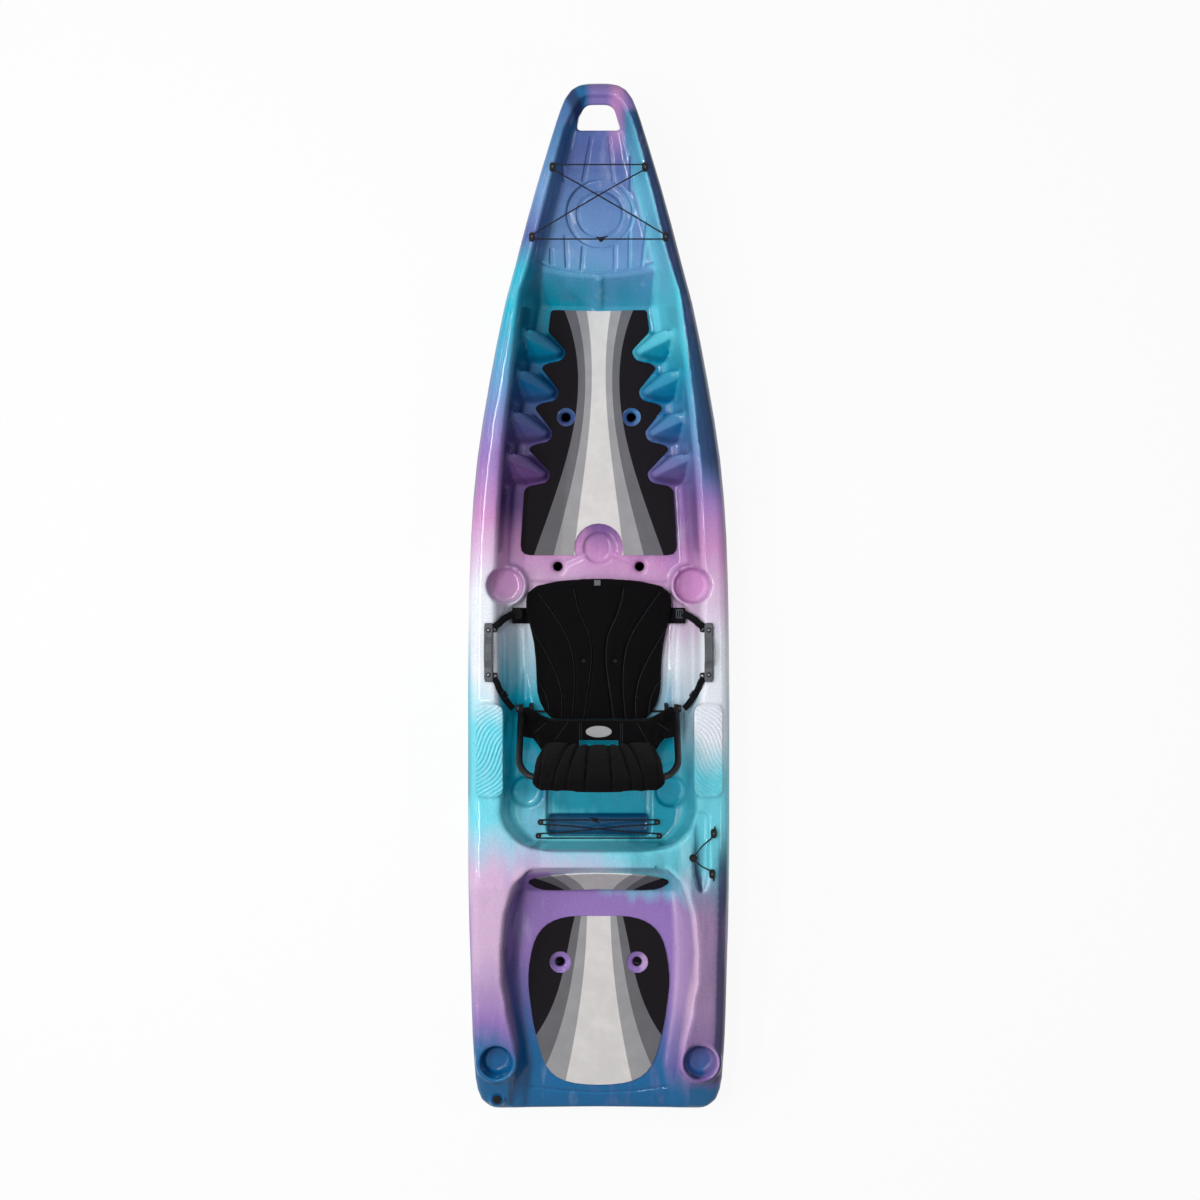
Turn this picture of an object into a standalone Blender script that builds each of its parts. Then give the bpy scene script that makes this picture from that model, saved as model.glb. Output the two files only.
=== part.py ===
"""Sit-on-top recreational kayak with a folding seat.

The boat is one rotomoulded shell. Its outside is lofted through stations, and the tank well, the leg well
with its foot braces, the seat well and the swim deck are cut out of the loft. Foam deck pads, bungees,
carry handles, a drain plug and a strapped-in folding seat are separate pieces on it.
Metres, +Y to the bow, +X to starboard, +Z up, origin on the ground below the middle of the boat.
"""
import math

import bmesh
import bpy
from mathutils import Matrix, Vector

# Driving sizes
LENGTH = 3.353
BEAM = 0.857
SEAT_Y = 0.012
CLEARANCE = 0.0003

BOW = LENGTH / 2
STERN = -LENGTH / 2
HALF_BEAM = BEAM / 2

# Outside form at stations: share of the length from the stern, then the size there
PLAN_SHAPE = (
    (0.0, 0.78), (0.0015, 0.82), (0.0043, 0.857), (0.010, 0.905), (0.016, 0.928), (0.028, 0.946),
    (0.04, 0.953), (0.063, 0.968), (0.11, 0.980), (0.20, 0.994), (0.30, 1.0), (0.42, 1.0), (0.509, 0.992),
    (0.557, 0.98), (0.604, 0.957), (0.650, 0.92), (0.697, 0.859), (0.744, 0.791), (0.790, 0.714),
    (0.834, 0.6195), (0.880, 0.525), (0.9266, 0.415), (0.9642, 0.320), (0.9758, 0.2876), (0.9874, 0.248),
    (0.9932, 0.209), (0.9976, 0.155), (1.0, 0.095),
)
SHEER_HEIGHT = (
    (0.0, 0.122), (0.0015, 0.138), (0.0043, 0.150), (0.010, 0.161), (0.020, 0.180), (0.030, 0.203),
    (0.045, 0.217), (0.075, 0.222), (0.11, 0.225), (0.17, 0.262), (0.215, 0.300), (0.255, 0.300),
    (0.29, 0.288), (0.55, 0.286), (0.70, 0.292), (0.90, 0.325), (0.984, 0.335), (0.9932, 0.330),
    (0.9976, 0.322), (1.0, 0.306),
)
KEEL_HEIGHT = (
    (0.0, 0.105), (0.004, 0.075), (0.016, 0.052), (0.06, 0.015), (0.15, 0.0), (0.70, 0.0), (0.80, 0.015),
    (0.88, 0.045), (0.94, 0.095), (0.98, 0.165), (0.996, 0.215), (1.0, 0.240),
)
STERN_HOLLOW = 0.006
LEG_FILLET = 0.012
TANK_LIP = 0.006
MOUTH_CLEAR = 0.008
DECK_CROWN = 0.004
CROWN_BREAK = 0.45

# Half sections from the keel out and up to the deck: share of the half beam, share of the depth
MIDSHIP_SECTION = (
    (0.0, 0.0), (0.13, 0.0), (0.22, 0.09), (0.40, 0.09), (0.50, 0.0), (0.70, 0.0), (0.86, 0.10), (0.96, 0.30),
    (1.0, 0.62), (0.995, 0.86), (0.968, 0.965), (0.925, 1.0),
)
BOW_SECTION = (
    (0.0, 0.0), (0.10, 0.02), (0.22, 0.08), (0.38, 0.17), (0.50, 0.25), (0.66, 0.36), (0.80, 0.48), (0.92,
            0.62),
    (1.0, 0.78), (0.99, 0.90), (0.945, 0.975), (0.86, 1.0),
)
BOW_SECTION_STARTS = 0.60
BOW_SECTION_FULL = 0.97

# Floors of the wells, above the ground
TANK_FLOOR = 0.225
LEG_FLOOR = 0.105
SEAT_FLOOR = 0.120
SHELF_FLOOR = 0.160
POCKET_FLOOR = 0.100
SWIM_FLOOR = 0.145
RIDGE_TOP = 0.296

# Places along the boat
TANK_FRONT = BOW - 0.034
TANK_BACK = BOW - 0.570
TANK_BULGE = 0.034
BULKHEAD_FOOT = BOW - 0.684
BULKHEAD_BULGE = 0.008
LEDGE_Y = SEAT_Y + 0.045
SEAT_WELL_BACK = SEAT_Y - 0.815
SWIM_TOP = STERN + 0.812
SWIM_FOOT = STERN + 0.722

# Grab handle moulded through the bow
HANDLE_HOLE_FRONT = 0.071
HANDLE_HOLE_BACK = 0.143
HANDLE_HOLE_FRONT_HALF = 0.046
HANDLE_HOLE_BACK_HALF = 0.074
HANDLE_HOLE_FRONT_CORNER = 0.024
HANDLE_HOLE_LEAN = 0.22
HANDLE_TOP = 0.31
HANDLE_HOLE_BACK_CORNER = 0.012

# Moulded rings and round recesses: radius and depth
FLOOR_RING_OUTER = 0.107
FLOOR_RING_INNER = 0.075
FLOOR_RING_DEPTH = 0.005
FLOOR_RING_FROM_BOW = 0.413
CENTRE_RECESS_RADIUS = 0.054
CENTRE_RECESS_DEPTH = 0.012
CENTRE_RECESS_Y = SEAT_Y + 0.1665
SIDE_RECESS_RADIUS = 0.059
SIDE_RECESS_RIM = 0.008
SIDE_RECESS_TOP = 0.172
SIDE_RECESS_BOTTOM = 0.130
SIDE_RECESS_X = 0.305
SIDE_RECESS_Y = SEAT_Y + 0.041
SHELF_RECESS_RADIUS = 0.054
SHELF_RECESS_DEPTH = 0.022
SHELF_RECESS_X = 0.236
SHELF_RECESS_Y = SEAT_Y - 0.638
CUP_RADIUS = 0.057
CUP_BOTTOM_RADIUS = 0.044
CUP_DEPTH = 0.072
CUP_LIP_RADIUS = 0.069
CUP_LIP_HEIGHT = 0.004
CUP_X = 0.335
CUP_FROM_STERN = 0.1685

# Scuppers drain the wells through the bottom
SCUPPER_RADIUS = 0.0150
SCUPPER_FLARE = 0.021
SCUPPER_RECESS = 0.008
LEG_SEAT = 0.0300
LEDGE_SEAT = 0.0265
SWIM_SEAT = 0.0350
CHANNEL_TO_SCUPPER = 0.013
CHANNEL_TO_SCUPPER_DEPTH = 0.008
LEG_SCUPPER = (0.1085, 0.600)
LEDGE_SCUPPER = (0.1355, 0.105)
SWIM_SCUPPER_X = 0.127
SWIM_SCUPPER_FROM_STERN = 0.487

# Foot braces: the tip of each on the floor, from the seat, and the wedge round it
BRACE_TIPS = ((0.115, 0.816), (0.137, 0.683), (0.158, 0.547), (0.1655, 0.411))
BRACE_TOP = 0.238
BRACE_TIP_HEIGHT = 0.045

# Hand pads moulded on the rails, beside the seat back
HAND_PAD_INNER = 0.309
HAND_PAD_OUTER = 0.402
HAND_PAD_FRONT = SEAT_Y - 0.345
HAND_PAD_BACK = SEAT_Y - 0.645
HAND_PAD_TOP = 0.300

# Pocket behind the seat, and the paddle groove in the starboard rail
POCKET_HALF = 0.172
POCKET_FRONT = SEAT_Y - 0.715
POCKET_BACK = SEAT_Y - 0.785
TROUGH_FRONT = SEAT_Y - 0.42
GROOVE_X = 0.335
GROOVE_RADIUS = 0.022
GROOVE_FRONT = SEAT_Y - 0.715
GROOVE_BACK = SEAT_Y - 0.875
GROOVE_DEPTH = 0.014

# Foam deck pads
PAD_THICK = 0.005
PAD_TO_BRACE = 0.005
FRONT_PAD_BACK = 0.142
REAR_PAD_BACK = 0.083

# Drain plug in the port corner of the stern
PLUG_X = -0.335
PLUG_FROM_STERN = 0.0386
PLUG_HEAD_RADIUS = 0.0135
PLUG_HEAD = 0.006
PLUG_SHANK_RADIUS = 0.0085
PLUG_SHANK = 0.024
PLUG_FLANGE_RADIUS = 0.0185
PLUG_FLANGE = 0.003
PLUG_BOSS_RADIUS = 0.024
PLUG_BOSS_TOP = 0.172

# Bungee cord and the hooked anchors that hold it
CORD_RADIUS = 0.0024
ANCHOR_BASE = 0.004
ANCHOR_NECK_RADIUS = 0.0045
ANCHOR_NECK = 0.0056
ANCHOR_HEAD = 0.0035
ANCHOR_SIZE = (0.019, 0.031)
POCKET_ANCHOR_SIZE = (0.017, 0.020)
ANCHOR_SHIM = 0.0007
KNOT_HALF = 0.011
# Anchors: distance from the middle, then from the bow or back from the seat
BOW_FRONT_ANCHORS = (0.1490, 0.2745)
BOW_REAR_ANCHORS = (0.2160, 0.4985)
POCKET_ANCHORS = ((0.192, 0.738), (0.199, 0.783))
PADDLE_ANCHORS = ((0.372, 0.762), (0.367, 0.893))
PADDLE_BUTTON = (0.306, 0.842)

# Side carry handles, their screws and the plates that hold the seat straps
GRIP_X = 0.357
GRIP_FRONT = SEAT_Y - 0.081
GRIP_BACK = SEAT_Y - 0.272
GRIP_WIDTH = 0.029
GRIP_THICK = 0.010
GRIP_RISE = 0.020
GRIP_SCREW_INSET = 0.023
STRAP_PLATE = 0.002
SCREW_RADIUS = 0.0032
SCREW_HEAD_RADIUS = 0.0085
SCREW_HEAD = 0.004
WEBBING_WIDTH = 0.025
WEBBING_THICK = 0.002
STRAP_EYE_REACH = 0.030
STRAP_EYE_RADIUS = 0.0048
CLIP_RADIUS = 0.009
CLIP_WIRE = 0.0015
CLIP_LIFT = 0.002

# Seat
SEAT_FRONT = SEAT_Y + 0.045
SEAT_BACK = SEAT_Y - 0.405
PAN_THICK = 0.010
CUSHION_THICK = 0.050
PIVOT = Vector((0.0, SEAT_Y - 0.362, 0.212))
RECLINE = math.radians(36)
ARM_X = 0.2535
ARM_RADIUS = 0.0112
HINGE_PIN_RADIUS = 0.004
EAR_X = 0.226
EAR_THICK = 0.005
EAR_RADIUS = 0.015
BACK_PAD_THICK = 0.030
BACK_LEAN = 4
BACK_CURL = 26
CUSHION_BULGE = 0.020
BAR_ALONG = 0.262
ARM_BEND = ((0.004, 0.288, 0.002), (0.019, 0.316, 0.006), (0.045, 0.334, 0.010))
TAB_X = 0.262
TAB_THICK = 0.0026
BAND_HALF = 0.070

# Cushions: distance along, half width, then the places of the outer, middle and inner channels
CUSHION_ROWS = (
    (0.045, 0.140, 0.085, 0.070, 0.022), (0.040, 0.205, 0.140, 0.112, 0.045), (0.016, 0.236, 0.190, 0.150,
            0.066), (-0.012, 0.240, 0.200, 0.146, 0.064),
    (-0.036, 0.2395, 0.205, 0.130, 0.058), (-0.072, 0.232, 0.208, 0.110, 0.048), (-0.108, 0.223, 0.194,
            0.095, 0.036), (-0.150, 0.214, 0.170, 0.086, 0.024),
    (-0.196, 0.209, 0.148, 0.082, 0.020), (-0.240, 0.2065, 0.134, 0.078, 0.022), (-0.276, 0.2055, 0.126,
            0.077, 0.028), (-0.310, 0.203, 0.121, 0.078, 0.034),
    (-0.344, 0.194, 0.118, 0.081, 0.039), (-0.376, 0.176, 0.115, 0.083, 0.043), (-0.398, 0.155, 0.112, 0.082,
            0.044),
)
BACK_ROWS = (
    (0.000, 0.160, 0.090, 0.057, 0.026), (0.030, 0.184, 0.100, 0.060, 0.027), (0.070, 0.192, 0.108, 0.065,
            0.028), (0.115, 0.194, 0.116, 0.072, 0.030),
    (0.165, 0.198, 0.124, 0.079, 0.032), (0.215, 0.202, 0.132, 0.087, 0.034), (0.265, 0.205, 0.140, 0.095,
            0.037), (0.310, 0.204, 0.147, 0.102, 0.040),
    (0.345, 0.196, 0.151, 0.107, 0.042), (0.368, 0.170, 0.140, 0.104, 0.042), (0.378, 0.130, 0.110, 0.085,
            0.040),
)
CHANNEL_HALF = 0.006
CHANNEL_DEPTH = 0.006
CUSHION_WIDEST = max(edge for along, edge, *channels in CUSHION_ROWS)


def clear_scene():
    for thing in list(bpy.data.objects):
        bpy.data.objects.remove(thing, do_unlink=True)


def finish_material(name, colour, roughness, metallic=0.0):
    material = bpy.data.materials.new(name)
    material.use_nodes = True
    shader = material.node_tree.nodes["Principled BSDF"]
    shader.inputs["Base Color"].default_value = (*colour, 1.0)
    shader.inputs["Roughness"].default_value = roughness
    shader.inputs["Metallic"].default_value = metallic
    return material


def between(table, x):
    """Straight-line reading of a table of (place, size)."""
    for (x0, v0), (x1, v1) in zip(table, table[1:]):
        if x <= x1:
            return v0 + (v1 - v0) * max(0.0, x - x0) / (x1 - x0)
    return table[-1][1]


def smooth_step(low, high, x):
    t = min(1.0, max(0.0, (x - low) / (high - low)))
    return t * t * (3 - 2 * t)


def share_from_stern(y):
    return (y - STERN) / LENGTH


def hull_places():
    """Stations of the loft: close at the ends, even between."""
    ends = [0.0, 0.0015, 0.0043, 0.010, 0.020, 0.032, 0.045, 0.075]
    bow_end = [0.964, 0.9758, 0.9850, 0.9932, 0.9976, 1.0]
    count = 22
    middle = [0.11 + (0.94 - 0.11) * i / count for i in range(count + 1)]
    return ends + middle + bow_end


STATION_BEAMS = [(place, HALF_BEAM * between(PLAN_SHAPE, place)) for place in hull_places()]
STATION_SHEERS = [(place, between(SHEER_HEIGHT, place)) for place in hull_places()]


def half_beam(y):
    """Half width of the lofted skin, flat between its stations."""
    return between(STATION_BEAMS, share_from_stern(y))


def sheer(y):
    """Height of the lofted skin's deck edge, flat between its stations."""
    return between(STATION_SHEERS, share_from_stern(y))


def deck_level(x, y):
    """Height of the crowned deck before anything is cut out of it."""
    share = min(1.0, abs(x) / half_beam(y))
    bow = smooth_step(BOW_SECTION_STARTS, BOW_SECTION_FULL, share_from_stern(y))
    edge = MIDSHIP_SECTION[-1][0] + (BOW_SECTION[-1][0] - MIDSHIP_SECTION[-1][0]) * bow
    return sheer(y) + DECK_CROWN * between(((0.0, 1.0), (CROWN_BREAK, 0.8), (edge, 0.0)), share)


def smooth_curve(points, per_span=4, closed=False):
    """Points on a Catmull-Rom curve through the given ones."""
    points = [Vector(p) for p in points]
    count = len(points)
    spans = count if closed else count - 1
    out = []
    for i in range(spans):
        if closed:
            a, b, c, d = (points[(i + k - 1) % count] for k in range(4))
        else:
            a, b, c, d = (points[min(max(i + k - 1, 0), count - 1)] for k in range(4))
        for j in range(per_span):
            t = j / per_span
            out.append(0.5 * (2 * b + (c - a) * t + (2 * a - 5 * b + 4 * c - d) * t * t
                              + (3 * b - a - 3 * c + d) * t ** 3))
    if not closed:
        out.append(points[-1])
    return out


def arc(centre, radius, start, end, steps):
    """Points on an arc in the plane, angles in degrees."""
    angles = [math.radians(start + (end - start) * i / steps) for i in range(steps + 1)]
    return [(centre[0] + radius * math.cos(a), centre[1] + radius * math.sin(a)) for a in angles]


def rounded(points, radius, steps=3):
    """A closed outline with its corners rounded; radius is one number or one for each corner."""
    out = []
    count = len(points)
    for i, point in enumerate(points):
        corner = Vector(point)
        r = radius[i] if isinstance(radius, (list, tuple)) else radius
        to_last = (Vector(points[i - 1]) - corner)
        to_next = (Vector(points[(i + 1) % count]) - corner)
        if r <= 0:
            out.append(corner)
            continue
        reach = min(r, 0.49 * to_last.length, 0.49 * to_next.length)
        a = corner + to_last.normalized() * reach
        b = corner + to_next.normalized() * reach
        for j in range(steps + 1):
            t = j / steps
            out.append(a.lerp(corner, t).lerp(corner.lerp(b, t), t))
    return out


def new_object(name, bm, material, smooth=True, parent=None):
    bmesh.ops.recalc_face_normals(bm, faces=bm.faces)
    mesh = bpy.data.meshes.new(name)
    bm.to_mesh(mesh)
    bm.free()
    if smooth:
        mesh.shade_smooth()
        mesh.set_sharp_from_angle(angle=math.radians(40))
    if material:
        mesh.materials.append(material)
    thing = bpy.data.objects.new(name, mesh)
    bpy.context.collection.objects.link(thing)
    if parent:
        thing.parent = parent
        thing.matrix_parent_inverse = parent.matrix_world.inverted()
    return thing


def loft(rings, bm=None):
    """A closed skin through rings of equal length, each end closed round its middle."""
    bm = bm or bmesh.new()
    rows = [[bm.verts.new(p) for p in ring] for ring in rings]
    count = len(rows[0])
    for low, high in zip(rows, rows[1:]):
        for i in range(count):
            j = (i + 1) % count
            bm.faces.new((low[i], low[j], high[j], high[i]))
    for row in (rows[0], rows[-1]):
        middle = bm.verts.new(sum((v.co for v in row), Vector()) / count)
        for i in range(count):
            bm.faces.new((row[i], row[(i + 1) % count], middle))
    return bm


def prism(outline, low, high, bm=None):
    """An upright block over an outline in the XY plane."""
    bm = bm or bmesh.new()
    bottom = [bm.verts.new((p[0], p[1], low)) for p in outline]
    top = [bm.verts.new((p[0], p[1], high)) for p in outline]
    count = len(outline)
    bm.faces.new(bottom)
    bm.faces.new(top)
    for i in range(count):
        j = (i + 1) % count
        bm.faces.new((bottom[i], bottom[j], top[j], top[i]))
    return bm


def turned(profile, centre, segments=24):
    """A solid turned about the vertical through centre; profile is (radius, height) from bottom to top."""
    bm = bmesh.new()
    rows = []
    for radius, height in profile:
        if radius <= 0:
            rows.append([bm.verts.new((centre[0], centre[1], height))])
            continue
        ring = []
        for i in range(segments):
            a = 2 * math.pi * i / segments
            ring.append(bm.verts.new((centre[0] + radius * math.cos(a), centre[1] + radius * math.sin(a),
                                      height)))
        rows.append(ring)
    for low, high in zip(rows, rows[1:]):
        for i in range(segments):
            j = (i + 1) % segments
            corners = [low[i % len(low)], low[j % len(low)], high[j % len(high)], high[i % len(high)]]
            corners = [v for k, v in enumerate(corners) if v not in corners[:k]]
            bm.faces.new(corners)
    for row in (rows[0], rows[-1]):
        if len(row) > 1:
            bm.faces.new(row)
    return bm


def turned_ring(profile, centre, segments=24):
    """A ring turned about the vertical; profile is a closed list of (radius, height)."""
    bm = bmesh.new()
    rows = []
    for radius, height in profile:
        rows.append([bm.verts.new((centre[0] + radius * math.cos(2 * math.pi * i / segments),
                                   centre[1] + radius * math.sin(2 * math.pi * i / segments), height))
                     for i in range(segments)])
    for k, low in enumerate(rows):
        high = rows[(k + 1) % len(rows)]
        for i in range(segments):
            j = (i + 1) % segments
            bm.faces.new((low[i], low[j], high[j], high[i]))
    return bm


def wrapped(points):
    """The smallest convex solid round some points."""
    bm = bmesh.new()
    verts = [bm.verts.new(p) for p in points]
    result = bmesh.ops.convex_hull(bm, input=verts)
    loose = [v for v in result["geom_interior"] + result["geom_unused"] if isinstance(v, bmesh.types.BMVert)]
    bmesh.ops.delete(bm, geom=list(set(loose)), context="VERTS")
    return bm


def boxed(x0, x1, y0, y1, z0, z1):
    return prism(((x0, y0), (x1, y0), (x1, y1), (x0, y1)), z0, z1)


def carve(target, bm, name, operation="DIFFERENCE"):
    """Cut a shape out of target, or join it on, with a Boolean modifier."""
    cutter = new_object(name, bm, None, smooth=False, parent=target)
    cutter.hide_render = True
    cutter.display_type = "WIRE"
    modifier = target.modifiers.new(name, "BOOLEAN")
    modifier.operation = operation
    modifier.solver = "EXACT"
    modifier.object = cutter
    return cutter


def both_sides(points, side):
    return [Vector((side * p[0], *p[1:])) for p in points]


# The outside of the hull

def hull_ring(place):
    """One section of the outside, all round, at a share of the length from the stern."""
    y = STERN + LENGTH * place
    beam = HALF_BEAM * between(PLAN_SHAPE, place)
    keel = between(KEEL_HEIGHT, place)
    top = between(SHEER_HEIGHT, place)
    bow = smooth_step(BOW_SECTION_STARTS, BOW_SECTION_FULL, place)
    half = []
    for (xm, zm), (xb, zb) in zip(MIDSHIP_SECTION, BOW_SECTION):
        half.append((beam * (xm + (xb - xm) * bow), keel + (top - keel) * (zm + (zb - zm) * bow)))
    half.append((beam * CROWN_BREAK, top + DECK_CROWN * 0.8))
    half.append((0.0, top + DECK_CROWN))
    hollow = STERN_HOLLOW * (1 - smooth_step(0.0, 0.03, place))
    full = half + [(-x, z) for x, z in half[-2:0:-1]]
    return [Vector((x, y + hollow * (1 - (x / beam) ** 2), z)) for x, z in full]


RAIL_WIDTH = (
    (0.29, 0.110), (0.345, 0.119), (0.40, 0.097), (0.50, 0.088), (0.595, 0.089), (0.66, 0.083), (0.74, 0.066),
    (0.80, 0.046), (0.86, 0.051), (0.926, 0.041), (0.965, 0.036),
)


def well_ring(y, floor, inner=None, run=0.05, lip=0.014, fillet=0.022, bulge=0.0):
    """One section of a well cutter: open above, rounded lip, drafted wall, filleted flat floor.

    A bulge carries the middle of the section to the stern, so that a step in the floor runs in an arc.
    """
    top = sheer(y)
    inner = half_beam(y) - between(RAIL_WIDTH, share_from_stern(y)) if inner is None else inner
    foot = inner - run
    depth = max(top - floor, 0.012)
    lip = min(lip, 0.3 * depth)
    fillet = min(fillet, 0.4 * depth)
    half = [
        (inner + 0.08, top + 0.15),
        (inner + 1.2 * lip, top + 0.003),
        (inner + 0.3 * lip, top - 0.25 * lip),
        (inner - 0.05 * run, top - lip),
        (foot + 0.22 * run, floor + fillet),
        (foot - 0.3 * fillet, floor + 0.25 * fillet),
        (foot - 1.3 * fillet, floor),
        (0.72 * (foot - 1.3 * fillet), floor),
        (0.38 * (foot - 1.3 * fillet), floor),
        (0.15 * (foot - 1.3 * fillet), floor),
    ]
    ring = half + [(-x, z) for x, z in reversed(half)]
    return [Vector((x, y - bulge * max(0.0, 1 - (x / inner) ** 2), z)) for x, z in ring]


def mouth_ring(y, inner):
    """The end of a well cutter, wholly above the deck, so that the skin leaves the deck on a clean line."""
    floor = sheer(y) + DECK_CROWN + MOUTH_CLEAR
    half = [(inner + 0.08, floor + 0.14), (inner + 0.02, floor + 0.05), (inner, floor + 0.03),
            (inner - 0.005, floor + 0.02), (inner - 0.010, floor + 0.010), (inner - 0.020, floor + 0.003),
            (inner - 0.040, floor)]
    half += [(share * (inner - 0.040), floor) for share in (0.72, 0.38, 0.15)]
    return [Vector((x, y, z)) for x, z in half + [(-x, z) for x, z in reversed(half)]]


def cockpit_cutter():
    """Tank well, bulkhead, leg well and seat well in one skin."""
    step = TANK_FLOOR
    rings = [
        mouth_ring(TANK_FRONT, 0.050),
        well_ring(TANK_FRONT - 0.014, step + 0.092, inner=0.056, run=0.012, lip=TANK_LIP),
        well_ring(TANK_FRONT - 0.038, step + 0.074, inner=0.073, run=0.014, lip=TANK_LIP),
        well_ring(TANK_FRONT - 0.078, step + 0.054, inner=0.092, run=0.016, lip=TANK_LIP),
        well_ring(TANK_FRONT - 0.115, step + 0.038, run=0.018, lip=TANK_LIP),
        well_ring(TANK_FRONT - 0.176, step + 0.022, run=0.022, lip=TANK_LIP),
        well_ring(TANK_FRONT - 0.331, step + 0.012, run=0.024, lip=TANK_LIP),
        well_ring(TANK_BACK + 0.077, step, run=0.026, lip=TANK_LIP),
        well_ring(TANK_BACK + 0.004, step, run=0.028, lip=TANK_LIP, bulge=TANK_BULGE),
        well_ring(TANK_BACK - 0.012, step - 0.006, run=0.034, lip=TANK_LIP, bulge=TANK_BULGE),
        well_ring(BULKHEAD_FOOT + 0.012, LEG_FLOOR + 0.022, run=0.070, fillet=LEG_FILLET,
                  bulge=BULKHEAD_BULGE),
        well_ring(BULKHEAD_FOOT - 0.010, LEG_FLOOR, run=0.072, fillet=LEG_FILLET, bulge=BULKHEAD_BULGE),
        well_ring(SEAT_Y + 0.800, LEG_FLOOR, run=0.064, fillet=LEG_FILLET),
        well_ring(SEAT_Y + 0.610, LEG_FLOOR, run=0.052, fillet=LEG_FILLET),
        well_ring(SEAT_Y + 0.440, LEG_FLOOR, run=0.050, fillet=LEG_FILLET),
        well_ring(SEAT_Y + 0.300, LEG_FLOOR, run=0.048, fillet=LEG_FILLET),
        well_ring(LEDGE_Y + 0.060, LEG_FLOOR, run=0.048, fillet=LEG_FILLET),
        well_ring(LEDGE_Y + 0.015, LEG_FLOOR, run=0.054, fillet=LEG_FILLET),
        well_ring(LEDGE_Y + 0.005, SEAT_FLOOR, run=0.062, fillet=LEG_FILLET),
        well_ring(SEAT_Y - 0.100, SEAT_FLOOR, run=0.086, fillet=LEG_FILLET),
        well_ring(SEAT_Y - 0.300, SEAT_FLOOR, run=0.086, fillet=LEG_FILLET),
        well_ring(SEAT_Y - 0.420, SEAT_FLOOR, run=0.056),
        well_ring(SEAT_Y - 0.540, SHELF_FLOOR, run=0.030),
        well_ring(SEAT_Y - 0.700, SHELF_FLOOR, inner=0.318, run=0.034),
        well_ring(SEAT_Y - 0.745, SHELF_FLOOR, inner=0.302, run=0.036, fillet=LEG_FILLET),
        well_ring(SEAT_WELL_BACK + 0.033, SHELF_FLOOR, inner=0.268, run=0.030, fillet=LEG_FILLET),
        well_ring(SEAT_WELL_BACK + 0.017, SHELF_FLOOR, inner=0.246, run=0.028, fillet=LEG_FILLET),
        well_ring(SEAT_WELL_BACK + 0.002, SHELF_FLOOR + 0.080, inner=0.212, run=0.030, fillet=LEG_FILLET),
        mouth_ring(SEAT_WELL_BACK - 0.010, 0.160),
    ]
    return loft(rings)


def swim_deck_cutter():
    """Steep step down behind the ridge, then the flat swim deck, open at the stern."""
    drop = RIDGE_TOP - SWIM_FLOOR
    mouth_level = sheer(SWIM_TOP) + DECK_CROWN + MOUTH_CLEAR
    mouth_y = SWIM_FOOT + (mouth_level - SWIM_FLOOR) * (SWIM_TOP - SWIM_FOOT) / drop
    rings = [
        mouth_ring(mouth_y, 0.228),
        well_ring(SWIM_FOOT + 0.5 * (SWIM_TOP - SWIM_FOOT), SWIM_FLOOR + 0.5 * drop, inner=0.264, run=0.020,
                  fillet=0.006),
        well_ring(SWIM_FOOT, SWIM_FLOOR, inner=0.283, run=0.036, fillet=0.012),
        well_ring(STERN + 0.656, SWIM_FLOOR, inner=0.302, run=0.040, fillet=0.020),
        well_ring(STERN + 0.528, SWIM_FLOOR, inner=0.3137, run=0.042, fillet=0.024),
        well_ring(STERN + 0.427, SWIM_FLOOR, inner=0.312, run=0.042, fillet=0.024),
        well_ring(STERN + 0.329, SWIM_FLOOR, inner=0.296, run=0.036, fillet=0.022),
        well_ring(STERN + 0.228, SWIM_FLOOR, inner=0.270, run=0.028, fillet=0.018),
        well_ring(STERN + 0.150, SWIM_FLOOR, inner=0.262, run=0.032, fillet=0.018),
        well_ring(STERN + 0.080, SWIM_FLOOR, inner=0.284, run=0.050, fillet=0.012),
        well_ring(STERN + 0.055, SWIM_FLOOR - 0.004, inner=0.290, run=0.050, fillet=0.010),
        well_ring(STERN + 0.016, SWIM_FLOOR - 0.016, inner=0.290, run=0.050, fillet=0.010),
        well_ring(STERN - 0.020, SWIM_FLOOR - 0.036, inner=0.290, run=0.050, fillet=0.010),
    ]
    return loft(rings)


def brace_wedge(tip, side):
    """One moulded foot brace: a wedge that climbs the side wall, its broad face to the stern."""
    x, y = tip[0], SEAT_Y + tip[1]
    low = LEG_FLOOR - 0.010
    ridge = LEG_FLOOR + BRACE_TIP_HEIGHT
    points = [
        (x + 0.050, y + 0.056, low), (x + 0.001, y + 0.005, low), (x, y - 0.004, low), (x + 0.008, y - 0.022,
                low),
        (x + 0.066, y - 0.038, low), (x + 0.125, y - 0.036, low), (x + 0.135, y + 0.030, low),
        (x + 0.007, y + 0.002, ridge - 0.010), (x + 0.013, y + 0.001, ridge), (x + 0.016, y - 0.010,
                ridge - 0.004),
        (x + 0.078, y + 0.058, BRACE_TOP - 0.034), (x + 0.088, y + 0.052, BRACE_TOP - 0.018),
        (x + 0.108, y + 0.062, BRACE_TOP - 0.008), (x + 0.128, y + 0.060, BRACE_TOP), (x + 0.134, y + 0.040,
                BRACE_TOP),
        (x + 0.110, y - 0.020, LEG_FLOOR + 0.050),
    ]
    return wrapped(both_sides(points, side))


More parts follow.
